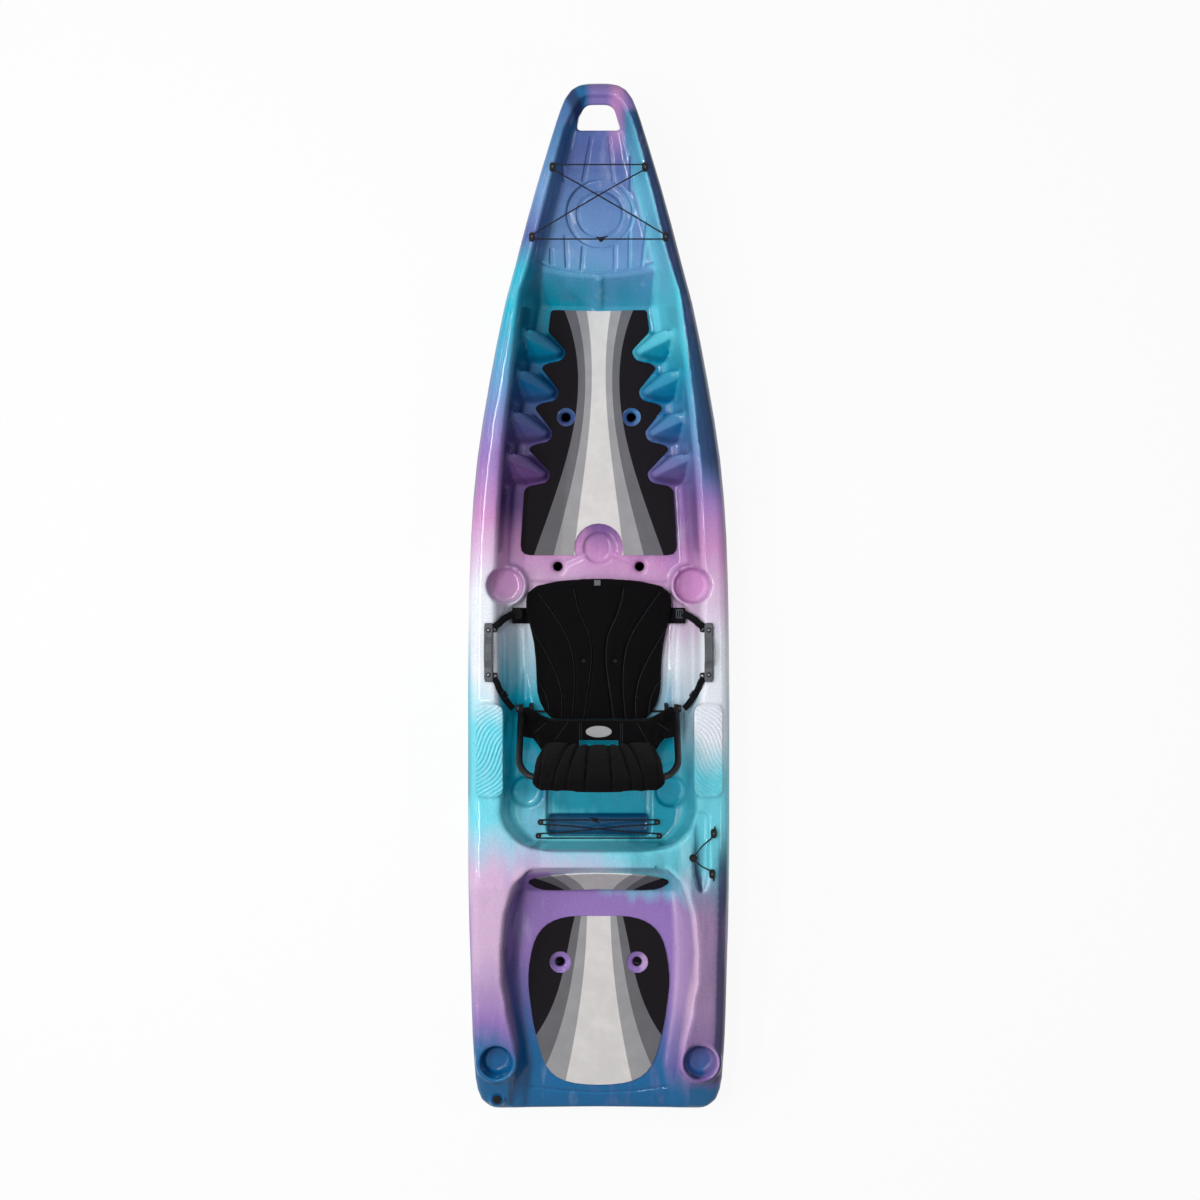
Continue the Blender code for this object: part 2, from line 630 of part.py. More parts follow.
def rib_wedge():
    """The rib down the middle of the bulkhead."""
    half = 0.013
    top = TANK_BACK - TANK_BULGE + 0.012
    foot = BULKHEAD_FOOT - BULKHEAD_BULGE
    points = []
    for side in (-1, 1):
        points += [
            (side * half, top, TANK_FLOOR - 0.010),
            (side * half * 0.8, top - 0.006, TANK_FLOOR + 0.001),
            (side * half * 0.8, top - 0.036, TANK_FLOOR - 0.002),
            (side * half, foot - 0.014, LEG_FLOOR - 0.010),
            (side * half * 0.8, foot - 0.014, LEG_FLOOR + 0.006),
            (side * half, top - 0.012, LEG_FLOOR - 0.010),
        ]
    return wrapped(points)


def scupper_cutter(x, y, floor, seat):
    """A drain tube: a dished seat in the floor, a step, a straight bore and a flare through the bottom."""
    step = floor - SCUPPER_RECESS
    return turned((
        (SCUPPER_FLARE, -0.010), (SCUPPER_FLARE, 0.004), (SCUPPER_RADIUS, 0.030),
        (SCUPPER_RADIUS, step - 0.006), (SCUPPER_RADIUS + 0.004, step),
        (seat - 0.006, step + 0.002), (seat, floor), (seat, floor + 0.020),
    ), (x, y), 14)


def scupper_places():
    swim_y = STERN + SWIM_SCUPPER_FROM_STERN
    return (
        ("leg", LEG_SCUPPER[0], SEAT_Y + LEG_SCUPPER[1], LEG_FLOOR, LEG_SEAT),
        ("ledge", LEDGE_SCUPPER[0], SEAT_Y + LEDGE_SCUPPER[1], LEG_FLOOR, LEDGE_SEAT),
        ("swim", SWIM_SCUPPER_X, swim_y, SWIM_FLOOR, SWIM_SEAT),
    )


def handle_hole_cutter():
    front = BOW - HANDLE_HOLE_FRONT
    back = BOW - HANDLE_HOLE_BACK
    corners = ((-HANDLE_HOLE_BACK_HALF, back), (HANDLE_HOLE_BACK_HALF, back),
               (HANDLE_HOLE_FRONT_HALF, front), (-HANDLE_HOLE_FRONT_HALF, front))
    radii = [HANDLE_HOLE_BACK_CORNER] * 2 + [HANDLE_HOLE_FRONT_CORNER] * 2
    outline = rounded(corners, radii, 4)
    rings = []
    for level in (-0.05, 0.45):
        flare = 1 + HANDLE_HOLE_LEAN * (HANDLE_TOP - level) / (front - back)
        rings.append([Vector((x, back + (y - back) * flare, level)) for x, y in outline])
    return loft(rings)


def cup_height():
    return sheer(STERN + CUP_FROM_STERN) + CUP_LIP_HEIGHT


def build_hull(material):
    hull = new_object("hull", loft([hull_ring(p) for p in hull_places()]), material)
    carve(hull, handle_hole_cutter(), "cut_bow_handle")
    carve(hull, cockpit_cutter(), "cut_cockpit")
    carve(hull, swim_deck_cutter(), "cut_swim_deck")
    pocket = rounded(((-POCKET_HALF, POCKET_BACK), (POCKET_HALF, POCKET_BACK), (POCKET_HALF, TROUGH_FRONT),
                      (-POCKET_HALF, TROUGH_FRONT)), 0.02, 2)
    carve(hull, prism(pocket, SEAT_FLOOR, 0.26), "cut_trough")
    deep = rounded(((-POCKET_HALF + 0.004, POCKET_BACK + 0.004), (POCKET_HALF - 0.004, POCKET_BACK + 0.004),
                    (POCKET_HALF - 0.004, POCKET_FRONT), (-POCKET_HALF + 0.004, POCKET_FRONT)), 0.015, 2)
    carve(hull, prism(deep, POCKET_FLOOR, 0.25), "cut_pocket")
    for side, word in ((-1, "port"), (1, "starboard")):
        for number, tip in enumerate(BRACE_TIPS, 1):
            carve(hull, brace_wedge(tip, side), f"foot_brace_{word}_{number}", "UNION")
        cup = (side * CUP_X, STERN + CUP_FROM_STERN)
        carve(hull, turned(((CUP_LIP_RADIUS - 0.002, SWIM_FLOOR - 0.03),
                            (CUP_LIP_RADIUS, cup_height() - 0.02),
                            (CUP_LIP_RADIUS, cup_height() - 0.003), (CUP_LIP_RADIUS - 0.004,
                                    cup_height())), cup, 24),
              f"join_cup_{word}", "UNION")
        carve(hull, turned(((CUP_BOTTOM_RADIUS - 0.006, cup_height() - CUP_DEPTH),
                            (CUP_BOTTOM_RADIUS, cup_height() - CUP_DEPTH + 0.006),
                            (CUP_RADIUS - 0.004, cup_height() - 0.006), (CUP_RADIUS, cup_height() + 0.002),
                            (CUP_RADIUS, cup_height() + 0.05)), cup, 24), f"cut_cup_{word}")
        spot = (side * SIDE_RECESS_X, SIDE_RECESS_Y)
        rim = SIDE_RECESS_RADIUS + SIDE_RECESS_RIM
        carve(hull, turned(((rim + 0.01, LEG_FLOOR - 0.02), (rim, SIDE_RECESS_TOP - 0.004),
                            (rim - 0.004, SIDE_RECESS_TOP)), spot, 24),
              f"join_side_recess_{word}", "UNION")
        carve(hull, turned(((SIDE_RECESS_RADIUS - 0.010, SIDE_RECESS_BOTTOM),
                            (SIDE_RECESS_RADIUS - 0.004, SIDE_RECESS_BOTTOM + 0.005),
                            (SIDE_RECESS_RADIUS, SIDE_RECESS_TOP + 0.001), (SIDE_RECESS_RADIUS + 0.004,
                                    0.4)), spot, 24),
              f"cut_side_recess_{word}")
        spot = (side * SHELF_RECESS_X, SHELF_RECESS_Y)
        carve(hull, turned(((SHELF_RECESS_RADIUS - 0.008, SHELF_FLOOR - SHELF_RECESS_DEPTH),
                            (SHELF_RECESS_RADIUS, SHELF_FLOOR + 0.002),
                            (SHELF_RECESS_RADIUS + 0.003, SHELF_FLOOR + 0.12)), spot, 24), f"cut_shelf_recess_{word}")
        pad = rounded([(side * x, y) for x, y in ((HAND_PAD_INNER, HAND_PAD_BACK),
                                                  (HAND_PAD_OUTER, HAND_PAD_BACK),
                                                  (HAND_PAD_OUTER, HAND_PAD_FRONT), (HAND_PAD_INNER,
                                                          HAND_PAD_FRONT))], 0.03, 3)
        carve(hull, prism(pad, 0.22, HAND_PAD_TOP), f"join_hand_pad_{word}", "UNION")
        for name, x, y, floor, seat in scupper_places():
            carve(hull, scupper_cutter(side * x, y, floor, seat), f"cut_{name}_scupper_{word}")
        notch = (side * (SIDE_RECESS_X - 0.45 * SIDE_RECESS_RADIUS), SIDE_RECESS_Y + 0.89 * SIDE_RECESS_RADIUS)
        carve(hull, turned(((0.013, SIDE_RECESS_TOP - 0.022), (0.013, SIDE_RECESS_TOP + 0.02)), notch, 10),
              f"cut_side_recess_notch_{word}")
        reach = Vector((LEDGE_SCUPPER[0], SEAT_Y + LEDGE_SCUPPER[1])) - Vector((0.0, CENTRE_RECESS_Y))
        across = Vector((-reach.y, reach.x)).normalized() * CHANNEL_TO_SCUPPER / 2
        ends = [reach * share + Vector((0.0, CENTRE_RECESS_Y)) for share in (0.30, 0.90)]
        channel = [ends[0] + across, ends[1] + across, ends[1] - across, ends[0] - across]
        carve(hull, prism([(side * p.x, p.y) for p in channel], LEG_FLOOR - CHANNEL_TO_SCUPPER_DEPTH,
                          LEG_FLOOR + 0.010),
              f"cut_drain_channel_{word}")
    carve(hull, rib_wedge(), "join_bulkhead_rib", "UNION")
    ring_floor = TANK_FLOOR + 0.009
    carve(hull, turned_ring(((FLOOR_RING_INNER, ring_floor - FLOOR_RING_DEPTH),
                             (FLOOR_RING_OUTER, ring_floor - FLOOR_RING_DEPTH),
                             (FLOOR_RING_OUTER + 0.002, ring_floor + 0.03), (FLOOR_RING_INNER - 0.002,
                                     ring_floor + 0.03)),
                            (0.0, BOW - FLOOR_RING_FROM_BOW), 32), "cut_tank_ring")
    carve(hull, turned(((CENTRE_RECESS_RADIUS - 0.006, LEG_FLOOR - CENTRE_RECESS_DEPTH),
                        (CENTRE_RECESS_RADIUS, LEG_FLOOR),
                        (CENTRE_RECESS_RADIUS, LEG_FLOOR + 0.02)), (0.0,
                                CENTRE_RECESS_Y), 24), "cut_centre_recess")
    groove = [(GROOVE_X + dx, y) for dx, y in (
        [(GROOVE_RADIUS * math.cos(math.radians(a)), GROOVE_FRONT + GROOVE_RADIUS * math.sin(math.radians(a)))
         for a in range(0, 181, 30)]
        + [(-GROOVE_RADIUS, GROOVE_BACK), (-0.4 * GROOVE_RADIUS, GROOVE_BACK - 0.06),
           (0.1 * GROOVE_RADIUS, GROOVE_BACK - 0.08),
           (0.5 * GROOVE_RADIUS, GROOVE_BACK - 0.06), (GROOVE_RADIUS, GROOVE_BACK)])]
    carve(hull, prism(groove, sheer(GROOVE_FRONT) - GROOVE_DEPTH, 0.4), "cut_paddle_groove")
    plug = (PLUG_X, STERN + PLUG_FROM_STERN)
    carve(hull, turned(((PLUG_BOSS_RADIUS + 0.004, 0.16), (PLUG_BOSS_RADIUS, PLUG_BOSS_TOP)), plug, 24),
          "join_plug_boss", "UNION")
    bore = PLUG_SHANK_RADIUS + 0.0035
    carve(hull, turned(((bore, PLUG_BOSS_TOP - 0.045), (bore, PLUG_BOSS_TOP - PLUG_FLANGE),
                        (PLUG_FLANGE_RADIUS + CLEARANCE, PLUG_BOSS_TOP - PLUG_FLANGE),
                        (PLUG_FLANGE_RADIUS + CLEARANCE, PLUG_BOSS_TOP + 0.02)), plug, 24), "cut_plug_bore")
    return hull


# Foam pads on the floors

def front_pad_outline():
    """The leg well pad: notched round the foot braces, with a round bay for the centre recess."""
    half_top = 0.1586
    side = [(half_top, SEAT_Y + 0.955), (half_top + 0.009, SEAT_Y + 0.882)]
    for number, (x, y) in enumerate(BRACE_TIPS):
        y += SEAT_Y
        gap = PAD_TO_BRACE
        side += [(x - gap, y + 0.004), (x - gap + 0.003, y - 0.012), (x + 0.010, y - 0.022 - 1.4 * gap)]
        reach = 0.076 if number < len(BRACE_TIPS) - 1 else 0.082
        side += [(x + reach - 0.018, y - 0.034 - gap), (x + reach, y - 0.048 - gap)]
    side += [(0.2610, SEAT_Y + FRONT_PAD_BACK)]
    bay = CENTRE_RECESS_RADIUS + 0.027
    reach = math.degrees(math.asin((SEAT_Y + FRONT_PAD_BACK - CENTRE_RECESS_Y) / bay))
    bay_points = arc((0.0, CENTRE_RECESS_Y), bay, reach, 90, 7)
    radii = [0] + [0.012] * (len(side) - 1) + [0.034]
    corners = [Vector((0.0, SEAT_Y + 0.951))] + [Vector(p) for p in side] + [Vector(bay_points[0])]
    half = rounded(corners, radii + [0], 3)[:-1]
    half = [p for p in half if p.x > 1e-6] + [Vector(p) for p in bay_points[:-1]]
    left = [Vector((-p.x, p.y)) for p in reversed(half)]
    return [Vector((0.0, SEAT_Y + 0.951))] + half + [Vector((0.0, CENTRE_RECESS_Y + bay))] + left


def rear_pad_outline():
    """The swim deck pad: an egg with a flat front edge."""
    half = [(0.0, 0.556), (0.0997, 0.554), (0.170, 0.529), (0.2135, 0.470), (0.2324, 0.361), (0.224, 0.259),
            (0.2073, 0.166), (0.174, 0.064), (0.113, 0.014), (0.0, 0.0)]
    right = smooth_curve([(-0.0997, 0.554)] + half + [(-0.113, 0.014)], 3)
    right = [Vector((p.x, p.y + STERN + REAR_PAD_BACK)) for p in right if p.x >= -1e-6]
    return right + [Vector((-p.x, p.y)) for p in reversed(right) if p.x > 1e-6]


def mid_pad_outline():
    """The pad on the step, across it and down it."""
    half = [(0.0, 0.004), (0.110, 0.012), (0.185, 0.030), (0.226, 0.056), (0.222, 0.078), (0.184, 0.112),
            (0.100, 0.114),
            (0.0, 0.108)]
    right = smooth_curve([(-0.11, 0.012)] + half + [(-0.1, 0.114)], 2)
    right = [p for p in right if p.x >= -1e-6]
    return right + [Vector((-p.x, p.y)) for p in reversed(right) if p.x > 1e-6]


def scupper_bores(pad, places, low, high):
    for side in (-1, 1):
        for name, x, y, floor, seat in places:
            carve(pad, turned(((seat + 0.001, low), (seat + 0.001, high)), (side * x, y), 20),
                  f"cut_{pad.name}_{name}_{'port' if side < 0 else 'starboard'}")


def step_frame():
    """The face of the step: its top edge and the way down it."""
    drop = RIDGE_TOP - SWIM_FLOOR
    middle = Vector((0.0, SWIM_FOOT + 0.5 * (SWIM_TOP - SWIM_FOOT), SWIM_FLOOR + 0.5 * drop))
    foot = Vector((0.0, SWIM_FOOT, SWIM_FLOOR))
    down = (foot - middle).normalized()
    return middle, down


def build_pads(material):
    low = LEG_FLOOR + CLEARANCE
    front = new_object("front_deck_pad", prism(front_pad_outline(), low, low + PAD_THICK), material,
                       smooth=False)
    scupper_bores(front, scupper_places()[:1], low - 0.01, low + 0.02)
    low = SWIM_FLOOR + CLEARANCE
    rear = new_object("rear_deck_pad", prism(rear_pad_outline(), low, low + PAD_THICK), material,
                      smooth=False)
    scupper_bores(rear, scupper_places()[2:], low - 0.01, low + 0.02)
    middle, down = step_frame()
    mid = new_object("mid_deck_pad", prism(mid_pad_outline(), 0.0, PAD_THICK), material, smooth=False)
    normal = Vector((1, 0, 0)).cross(down)
    if normal.z < 0:
        normal = -normal
    frame = Matrix((( 1.0, 0.0, 0.0), (0.0, down.y, normal.y), (0.0, down.z, normal.z))).to_4x4()
    origin = middle - down * 0.062 + normal * CLEARANCE * 2
    mid.data.transform(Matrix.Translation(origin) @ frame)
    mid.data.flip_normals()
    return front, mid, rear


# Bungees

def anchor_mesh(place, floor, size):
    """A lashing hook: an oblong foot, a neck for the cord and an oblong head."""
    x, y = place
    corners = [(sx * size[0], sy * size[1]) for sx, sy in ((-1, -1), (1, -1), (1, 1), (-1, 1))]
    foot = rounded([(x + 0.5 * dx, y + 0.5 * dy) for dx, dy in corners], size[0] * 0.48, 2)
    head = rounded([(x + 0.42 * dx, y + 0.42 * dy) for dx, dy in corners], size[0] * 0.38, 2)
    bm = prism(foot, floor + CLEARANCE, floor + ANCHOR_BASE)
    neck = turned(((ANCHOR_NECK_RADIUS, floor + ANCHOR_BASE - 0.001),
                   (ANCHOR_NECK_RADIUS, floor + ANCHOR_BASE + ANCHOR_NECK + 0.001)), (x, y), 12)
    top = prism(head, floor + ANCHOR_BASE + ANCHOR_NECK, floor + ANCHOR_BASE + ANCHOR_NECK + ANCHOR_HEAD)
    return bm, neck, top


def build_anchor(name, place, floor, material, size=ANCHOR_SIZE):
    foot, neck, head = anchor_mesh(place, floor, size)
    anchor = new_object(name, foot, material)
    carve(anchor, neck, f"{name}_neck", "UNION")
    carve(anchor, head, f"{name}_head", "UNION")
    return anchor


def cord_level(floor):
    return floor + ANCHOR_BASE + ANCHOR_NECK / 2


def round_neck(place, level, start, end, steps=4):
    """Cord points round the neck of an anchor, angles in degrees."""
    reach = ANCHOR_NECK_RADIUS + CORD_RADIUS + 1.5 * CLEARANCE
    return [Vector((x, y, level)) for x, y in arc(place, reach, start, end, steps)]


def laced(knot_row, far_row, knot_x, knot_half, levels):
    """Route of one bungee: along the knot row, an X across, along the far row, and back to the knot.

    knot_row and far_row are (half width, y); levels are the cord heights over the two rows.
    """
    (xk, yk), (xf, yf) = knot_row, far_row
    lk, lf = levels
    out = 1 if yf > yk else -1
    over = CORD_RADIUS + 2 * CLEARANCE
    mid_y = yk + (yf - yk) * xk / (xk + xf)
    mid_level = lk + (lf - lk) * xk / (xk + xf)
    outer = ANCHOR_NECK_RADIUS + CORD_RADIUS + 1.5 * CLEARANCE
    path = [Vector((knot_x - knot_half, yk - out * outer, lk)), Vector((-xk * 0.5, yk - out * outer, lk))]
    path += round_neck((-xk, yk), lk, -90 * out, -90 * out - 200 * out, 5)
    path += [Vector((-xk * 0.45, yk + (mid_y - yk) * 0.58, lk + (mid_level - lk) * 0.5 + over * 0.6)),
             Vector((0.0, mid_y, mid_level + over)),
             Vector((xf * 0.45, mid_y + (yf - mid_y) * 0.42,
                     mid_level + (lf - mid_level) * 0.5 + over * 0.6))]
    path += round_neck((xf, yf), lf, -70 * out, 90 * out, 5)
    path += [Vector((0.0, yf + out * outer, lf))]
    path += round_neck((-xf, yf), lf, 90 * out, 250 * out, 5)
    path += [Vector((-xf * 0.45, mid_y + (yf - mid_y) * 0.42,
                     mid_level + (lf - mid_level) * 0.5 - over * 0.6)),
             Vector((0.0, mid_y, mid_level - over)),
             Vector((xk * 0.45, yk + (mid_y - yk) * 0.58, lk + (mid_level - lk) * 0.5 - over * 0.6))]
    path += round_neck((xk, yk), lk, 110 * out, -90 * out, 5)
    path += [Vector((xk * 0.5, yk - out * outer, lk)), Vector((knot_x + knot_half, yk - out * outer, lk))]
    return path


def build_cord(name, points, material, radius=CORD_RADIUS):
    curve = bpy.data.curves.new(name, "CURVE")
    curve.dimensions = "3D"
    curve.bevel_depth = radius
    curve.bevel_resolution = 1
    curve.use_fill_caps = True
    spline = curve.splines.new("POLY")
    spline.points.add(len(points) - 1)
    for point, place in zip(spline.points, points):
        point.co = (*place, 1.0)
    curve.materials.append(material)
    cord = bpy.data.objects.new(name, curve)
    bpy.context.collection.objects.link(cord)
    return cord


def knot_mesh(place, half):
    """A tied knot: a fat waist between two rounded ends."""
    bm = turned(((0.0, -half), (half * 0.35, -half * 0.9), (half * 0.50, -half * 0.4), (half * 0.42, 0.0),
                 (half * 0.52, half * 0.4), (half * 0.35, half * 0.9), (0.0, half)), (0.0, 0.0), 10)
    bm.transform(Matrix.Translation(place) @ Matrix.Rotation(math.pi / 2, 4, "Y"))
    return bm


def build_bungees(cord_material, hook_material):
    rows = []
    for row, (x, from_bow) in (("front", BOW_FRONT_ANCHORS), ("rear", BOW_REAR_ANCHORS)):
        y = BOW - from_bow
        floor = deck_level(x, y) + ANCHOR_SHIM
        rows.append((x, y, floor))
        for side, word in ((-1, "port"), (1, "starboard")):
            build_anchor(f"bow_anchor_{row}_{word}", (side * x, y), floor, hook_material)
    front, rear = rows
    knot_x = 0.008
    levels = (cord_level(rear[2]), cord_level(front[2]))
    path = laced(rear[:2], front[:2], knot_x, KNOT_HALF + CLEARANCE, levels)
    build_cord("bow_bungee", path, cord_material)
    outer = ANCHOR_NECK_RADIUS + CORD_RADIUS + 1.5 * CLEARANCE
    new_object("bow_bungee_knot", knot_mesh(Vector((knot_x, rear[1] - outer, levels[0])), KNOT_HALF),
               cord_material)
    rows = []
    for row, (x, back) in zip(("front", "rear"), POCKET_ANCHORS):
        y = SEAT_Y - back
        rows.append((x, y))
        for side, word in ((-1, "port"), (1, "starboard")):
            build_anchor(f"pocket_anchor_{row}_{word}", (side * x, y), SHELF_FLOOR, hook_material,
                         POCKET_ANCHOR_SIZE)
    level = cord_level(SHELF_FLOOR)
    knot_x = -0.012
    build_cord("pocket_bungee", laced(rows[0], rows[1], knot_x, KNOT_HALF + CLEARANCE, (level, level)),
               cord_material)
    new_object("pocket_bungee_knot", knot_mesh(Vector((knot_x, rows[0][1] + outer, level)), KNOT_HALF),
               cord_material)


# Paddle park on the starboard rail

def build_paddle_park(cord_material, hook_material):
    floor = max(deck_level(x, SEAT_Y - back) for x, back in (*PADDLE_ANCHORS,
            PADDLE_BUTTON)) + ANCHOR_SHIM / 2
    places = []
    for (x, back), word in zip(PADDLE_ANCHORS, ("front", "rear")):
        place = (x, SEAT_Y - back)
        places.append(place)
        build_anchor(f"paddle_anchor_{word}", place, floor, hook_material)
    level = cord_level(floor)
    button = (PADDLE_BUTTON[0], SEAT_Y - PADDLE_BUTTON[1])
    hook = turned(((0.013, floor + CLEARANCE), (0.013, floor + 0.003),
                   (ANCHOR_NECK_RADIUS, floor + ANCHOR_BASE), (ANCHOR_NECK_RADIUS,
                           floor + ANCHOR_BASE + ANCHOR_NECK),
                   (0.010, floor + ANCHOR_BASE + ANCHOR_NECK + 0.001), (0.008,
                           floor + ANCHOR_BASE + ANCHOR_NECK + 0.005)), button, 20)
    new_object("paddle_park_button", hook, hook_material)
    reach = ANCHOR_NECK_RADIUS + CORD_RADIUS + 1.5 * CLEARANCE
    front, rear = (Vector((*p, level)) for p in places)
    start = front + Vector((reach * 0.4, reach + 0.016, 0.0))
    path = [start, front + Vector((reach, 0.004, 0))]
    path += round_neck(places[0], level, -20, -80, 2)
    path += [Vector((0.5 * (places[0][0] + button[0]), 0.5 * (places[0][1] + button[1]) + reach * 0.4,
                     level))]
    path += round_neck(button, level, 70, 290, 6)
    path += [Vector((0.5 * (places[1][0] + button[0]), 0.5 * (places[1][1] + button[1]) - reach * 0.4,
                     level))]
    path += round_neck(places[1], level, 80, 0, 3)
    path += [rear + Vector((reach * 0.6, -reach - 0.016, 0.0))]
    build_cord("paddle_park_bungee", path, cord_material)


# Drain plug

def build_plug(material, flange_material):
    place = (PLUG_X, STERN + PLUG_FROM_STERN)
    top = PLUG_BOSS_TOP
    bore = PLUG_SHANK_RADIUS + CLEARANCE
    ring = turned_ring(((bore, top - PLUG_FLANGE + CLEARANCE),
                        (PLUG_FLANGE_RADIUS, top - PLUG_FLANGE + CLEARANCE), (PLUG_FLANGE_RADIUS,
                                top - 0.0008),
                        (PLUG_FLANGE_RADIUS - 0.001, top), (bore, top)), place, 24)
    new_object("drain_plug_flange", ring, flange_material)
    axis = bpy.data.objects.new("drain_plug_axis", None)
    axis.location = (*place, top)
    bpy.context.collection.objects.link(axis)
    bpy.context.view_layer.update()
    plug = new_object("drain_plug", turned((
        (PLUG_SHANK_RADIUS - 0.0015, top - PLUG_SHANK), (PLUG_SHANK_RADIUS,
                top - PLUG_SHANK + 0.003), (PLUG_SHANK_RADIUS, top + CLEARANCE),
        (PLUG_HEAD_RADIUS, top + CLEARANCE), (PLUG_HEAD_RADIUS,
                                              top + PLUG_HEAD - 0.001), (PLUG_HEAD_RADIUS - 0.001,
                                                      top + PLUG_HEAD)), place, 24),
        material, parent=axis)
    slot = boxed(place[0] - 0.0085, place[0] + 0.0085, place[1] - 0.0014, place[1] + 0.0014,
                 top + PLUG_HEAD - 0.0025, top + PLUG_HEAD + 0.01)
    carve(plug, slot, "cut_plug_slot")


# Carry handles on the rails, with the seat's strap plates under their ends

def rail_level():
    """Deck height under the carry handles, at its highest."""
    return max(deck_level(GRIP_X - GRIP_WIDTH / 2, y) for y in (GRIP_FRONT, GRIP_BACK))


def swept_strap(points, width, thick, across):
    """A flat strap through points; across gives the width direction at each."""
    rings = []
    for i, (point, side) in enumerate(zip(points, across)):
        ahead = (points[min(i + 1, len(points) - 1)] - points[max(i - 1, 0)]).normalized()
        side = (side - ahead * side.dot(ahead)).normalized()
        up = ahead.cross(side)
        rings.append([point + side * sx * width / 2 + up * sz * thick / 2 for sx,
                      sz in ((-1, -1), (1, -1), (1, 1), (-1, 1))])
    return loft(rings)


def build_handles(grip_material, screw_material, plate_material):
    level = rail_level()
    base = level + STRAP_PLATE + 2 * CLEARANCE
    length = GRIP_FRONT - GRIP_BACK
    for side, word in ((-1, "port"), (1, "starboard")):
        x = side * GRIP_X
        foot = 2 * GRIP_SCREW_INSET
        rows = []
        heights = ((0.0, 0.0), (0.06, 0.0), (foot / length, 0.0), (0.36, 0.8), (0.5, 1.0), (0.64, 0.8),
                   (1 - foot / length, 0.0), (0.94, 0.0), (1.0, 0.0))
        for t, rise in heights:
            y = GRIP_FRONT - t * length
            z = base + rise * GRIP_RISE
            taper = 0.003 if t in (0.0, 1.0) else 0.0
            half = GRIP_WIDTH / 2 - taper
            rows.append([Vector((x + dx, y, z + dz)) for dx, dz in (
                (-half + 0.003, 0.0), (half - 0.003, 0.0), (half, 0.003), (half, GRIP_THICK - 0.004),
                (half - 0.004, GRIP_THICK - taper), (-half + 0.004, GRIP_THICK - taper), (-half,
                        GRIP_THICK - 0.004), (-half, 0.003))])
        grip = new_object(f"carry_handle_{word}", loft(rows), grip_material)
        for end, y, ahead in (("front", GRIP_FRONT - GRIP_SCREW_INSET, 1),
                              ("rear", GRIP_BACK + GRIP_SCREW_INSET, -1)):
            top = base + GRIP_THICK
            carve(grip, turned(((SCREW_RADIUS + CLEARANCE, base - 0.01),
                                (SCREW_RADIUS + CLEARANCE, top + 0.01)), (x,
                                        y), 12), f"cut_grip_{word}_{end}")
            screw = turned(((SCREW_RADIUS, level + CLEARANCE), (SCREW_RADIUS, top + CLEARANCE),
                            (SCREW_HEAD_RADIUS, top + CLEARANCE),
                            (SCREW_HEAD_RADIUS - 0.001, top + 0.002), (0.004, top + SCREW_HEAD), (0.0,
                                    top + SCREW_HEAD + 0.0004)), (x, y), 16)
            new_object(f"handle_screw_{word}_{end}", screw, screw_material)
            inner = side * (GRIP_X - STRAP_EYE_REACH)
            outline = rounded([(x + side * 0.010, y - 0.010), (x + side * 0.010, y + 0.010),
                               (inner, y + ahead * 0.004 + 0.010), (inner,
                                       y + ahead * 0.004 - 0.010)], 0.006, 2)
            plate = new_object(f"strap_plate_{word}_{end}", prism(outline, level + CLEARANCE,
                    level + STRAP_PLATE), plate_material)
            carve(plate, turned(((SCREW_RADIUS + CLEARANCE, level - 0.01),
                                 (SCREW_RADIUS + CLEARANCE, level + 0.01)), (x,
                                         y), 12), f"cut_plate_{word}_{end}")
            eye = strap_eye(side, end)
            carve(plate, turned(((STRAP_EYE_RADIUS, level - 0.01), (STRAP_EYE_RADIUS, level + 0.01)),
                                eye[:2], 12), f"cut_eye_{word}_{end}")
            build_clip(f"strap_clip_{word}_{end}", side, end, screw_material)


def clip_slack():
    """How far a clip is pulled off the middle of its eye, until it bears on the plate."""
    return STRAP_EYE_RADIUS - CLIP_WIRE - 3 * CLEARANCE


def clip_inset():
    """From a clip's middle to its wire, at the underside of the plate."""
    return math.sqrt(CLIP_RADIUS ** 2 - (CLIP_LIFT + STRAP_PLATE / 2) ** 2)


def strap_eye(side, end):
    """The eye at the inner end of a strap plate."""
    ahead = 1 if end == "front" else -1
    y = GRIP_FRONT - GRIP_SCREW_INSET if end == "front" else GRIP_BACK + GRIP_SCREW_INSET
    return Vector((side * (GRIP_X - STRAP_EYE_REACH + 0.008), y + ahead * 0.004,
                   rail_level() + STRAP_PLATE / 2))


def strap_run(side, end):
    """Level direction of a strap, from its clip to the seat."""
    if end == "front":
        return Vector((-side, 0.55, 0.0)).normalized()
    return Vector((-side * 0.75, -1.0, 0.0)).normalized()


def build_clip(name, side, end, material):
    """The wire ring between a plate and a strap, upright in the eye."""
    eye = strap_eye(side, end)
    run = strap_run(side, end)
    middle = eye + run * (clip_inset() + clip_slack()) + Vector((0, 0, CLIP_LIFT))
    bm = bmesh.new()
    around, section = 12, 5
    rings = []
    for i in range(around):
        a = 2 * math.pi * i / around
        out = run * math.cos(a) + Vector((0, 0, 1)) * math.sin(a)
        ring = []
        for j in range(section):
            b = 2 * math.pi * j / section
            outward = out * (CLIP_RADIUS + CLIP_WIRE * math.cos(b))
            sideways = run.cross(Vector((0, 0, 1))) * CLIP_WIRE * math.sin(b)
            ring.append(bm.verts.new(middle + outward + sideways))
        rings.append(ring)
    for i, low in enumerate(rings):
        high = rings[(i + 1) % around]
        for j in range(section):
            k = (j + 1) % section
            bm.faces.new((low[j], low[k], high[k], high[j]))
    return new_object(name, bm, material)


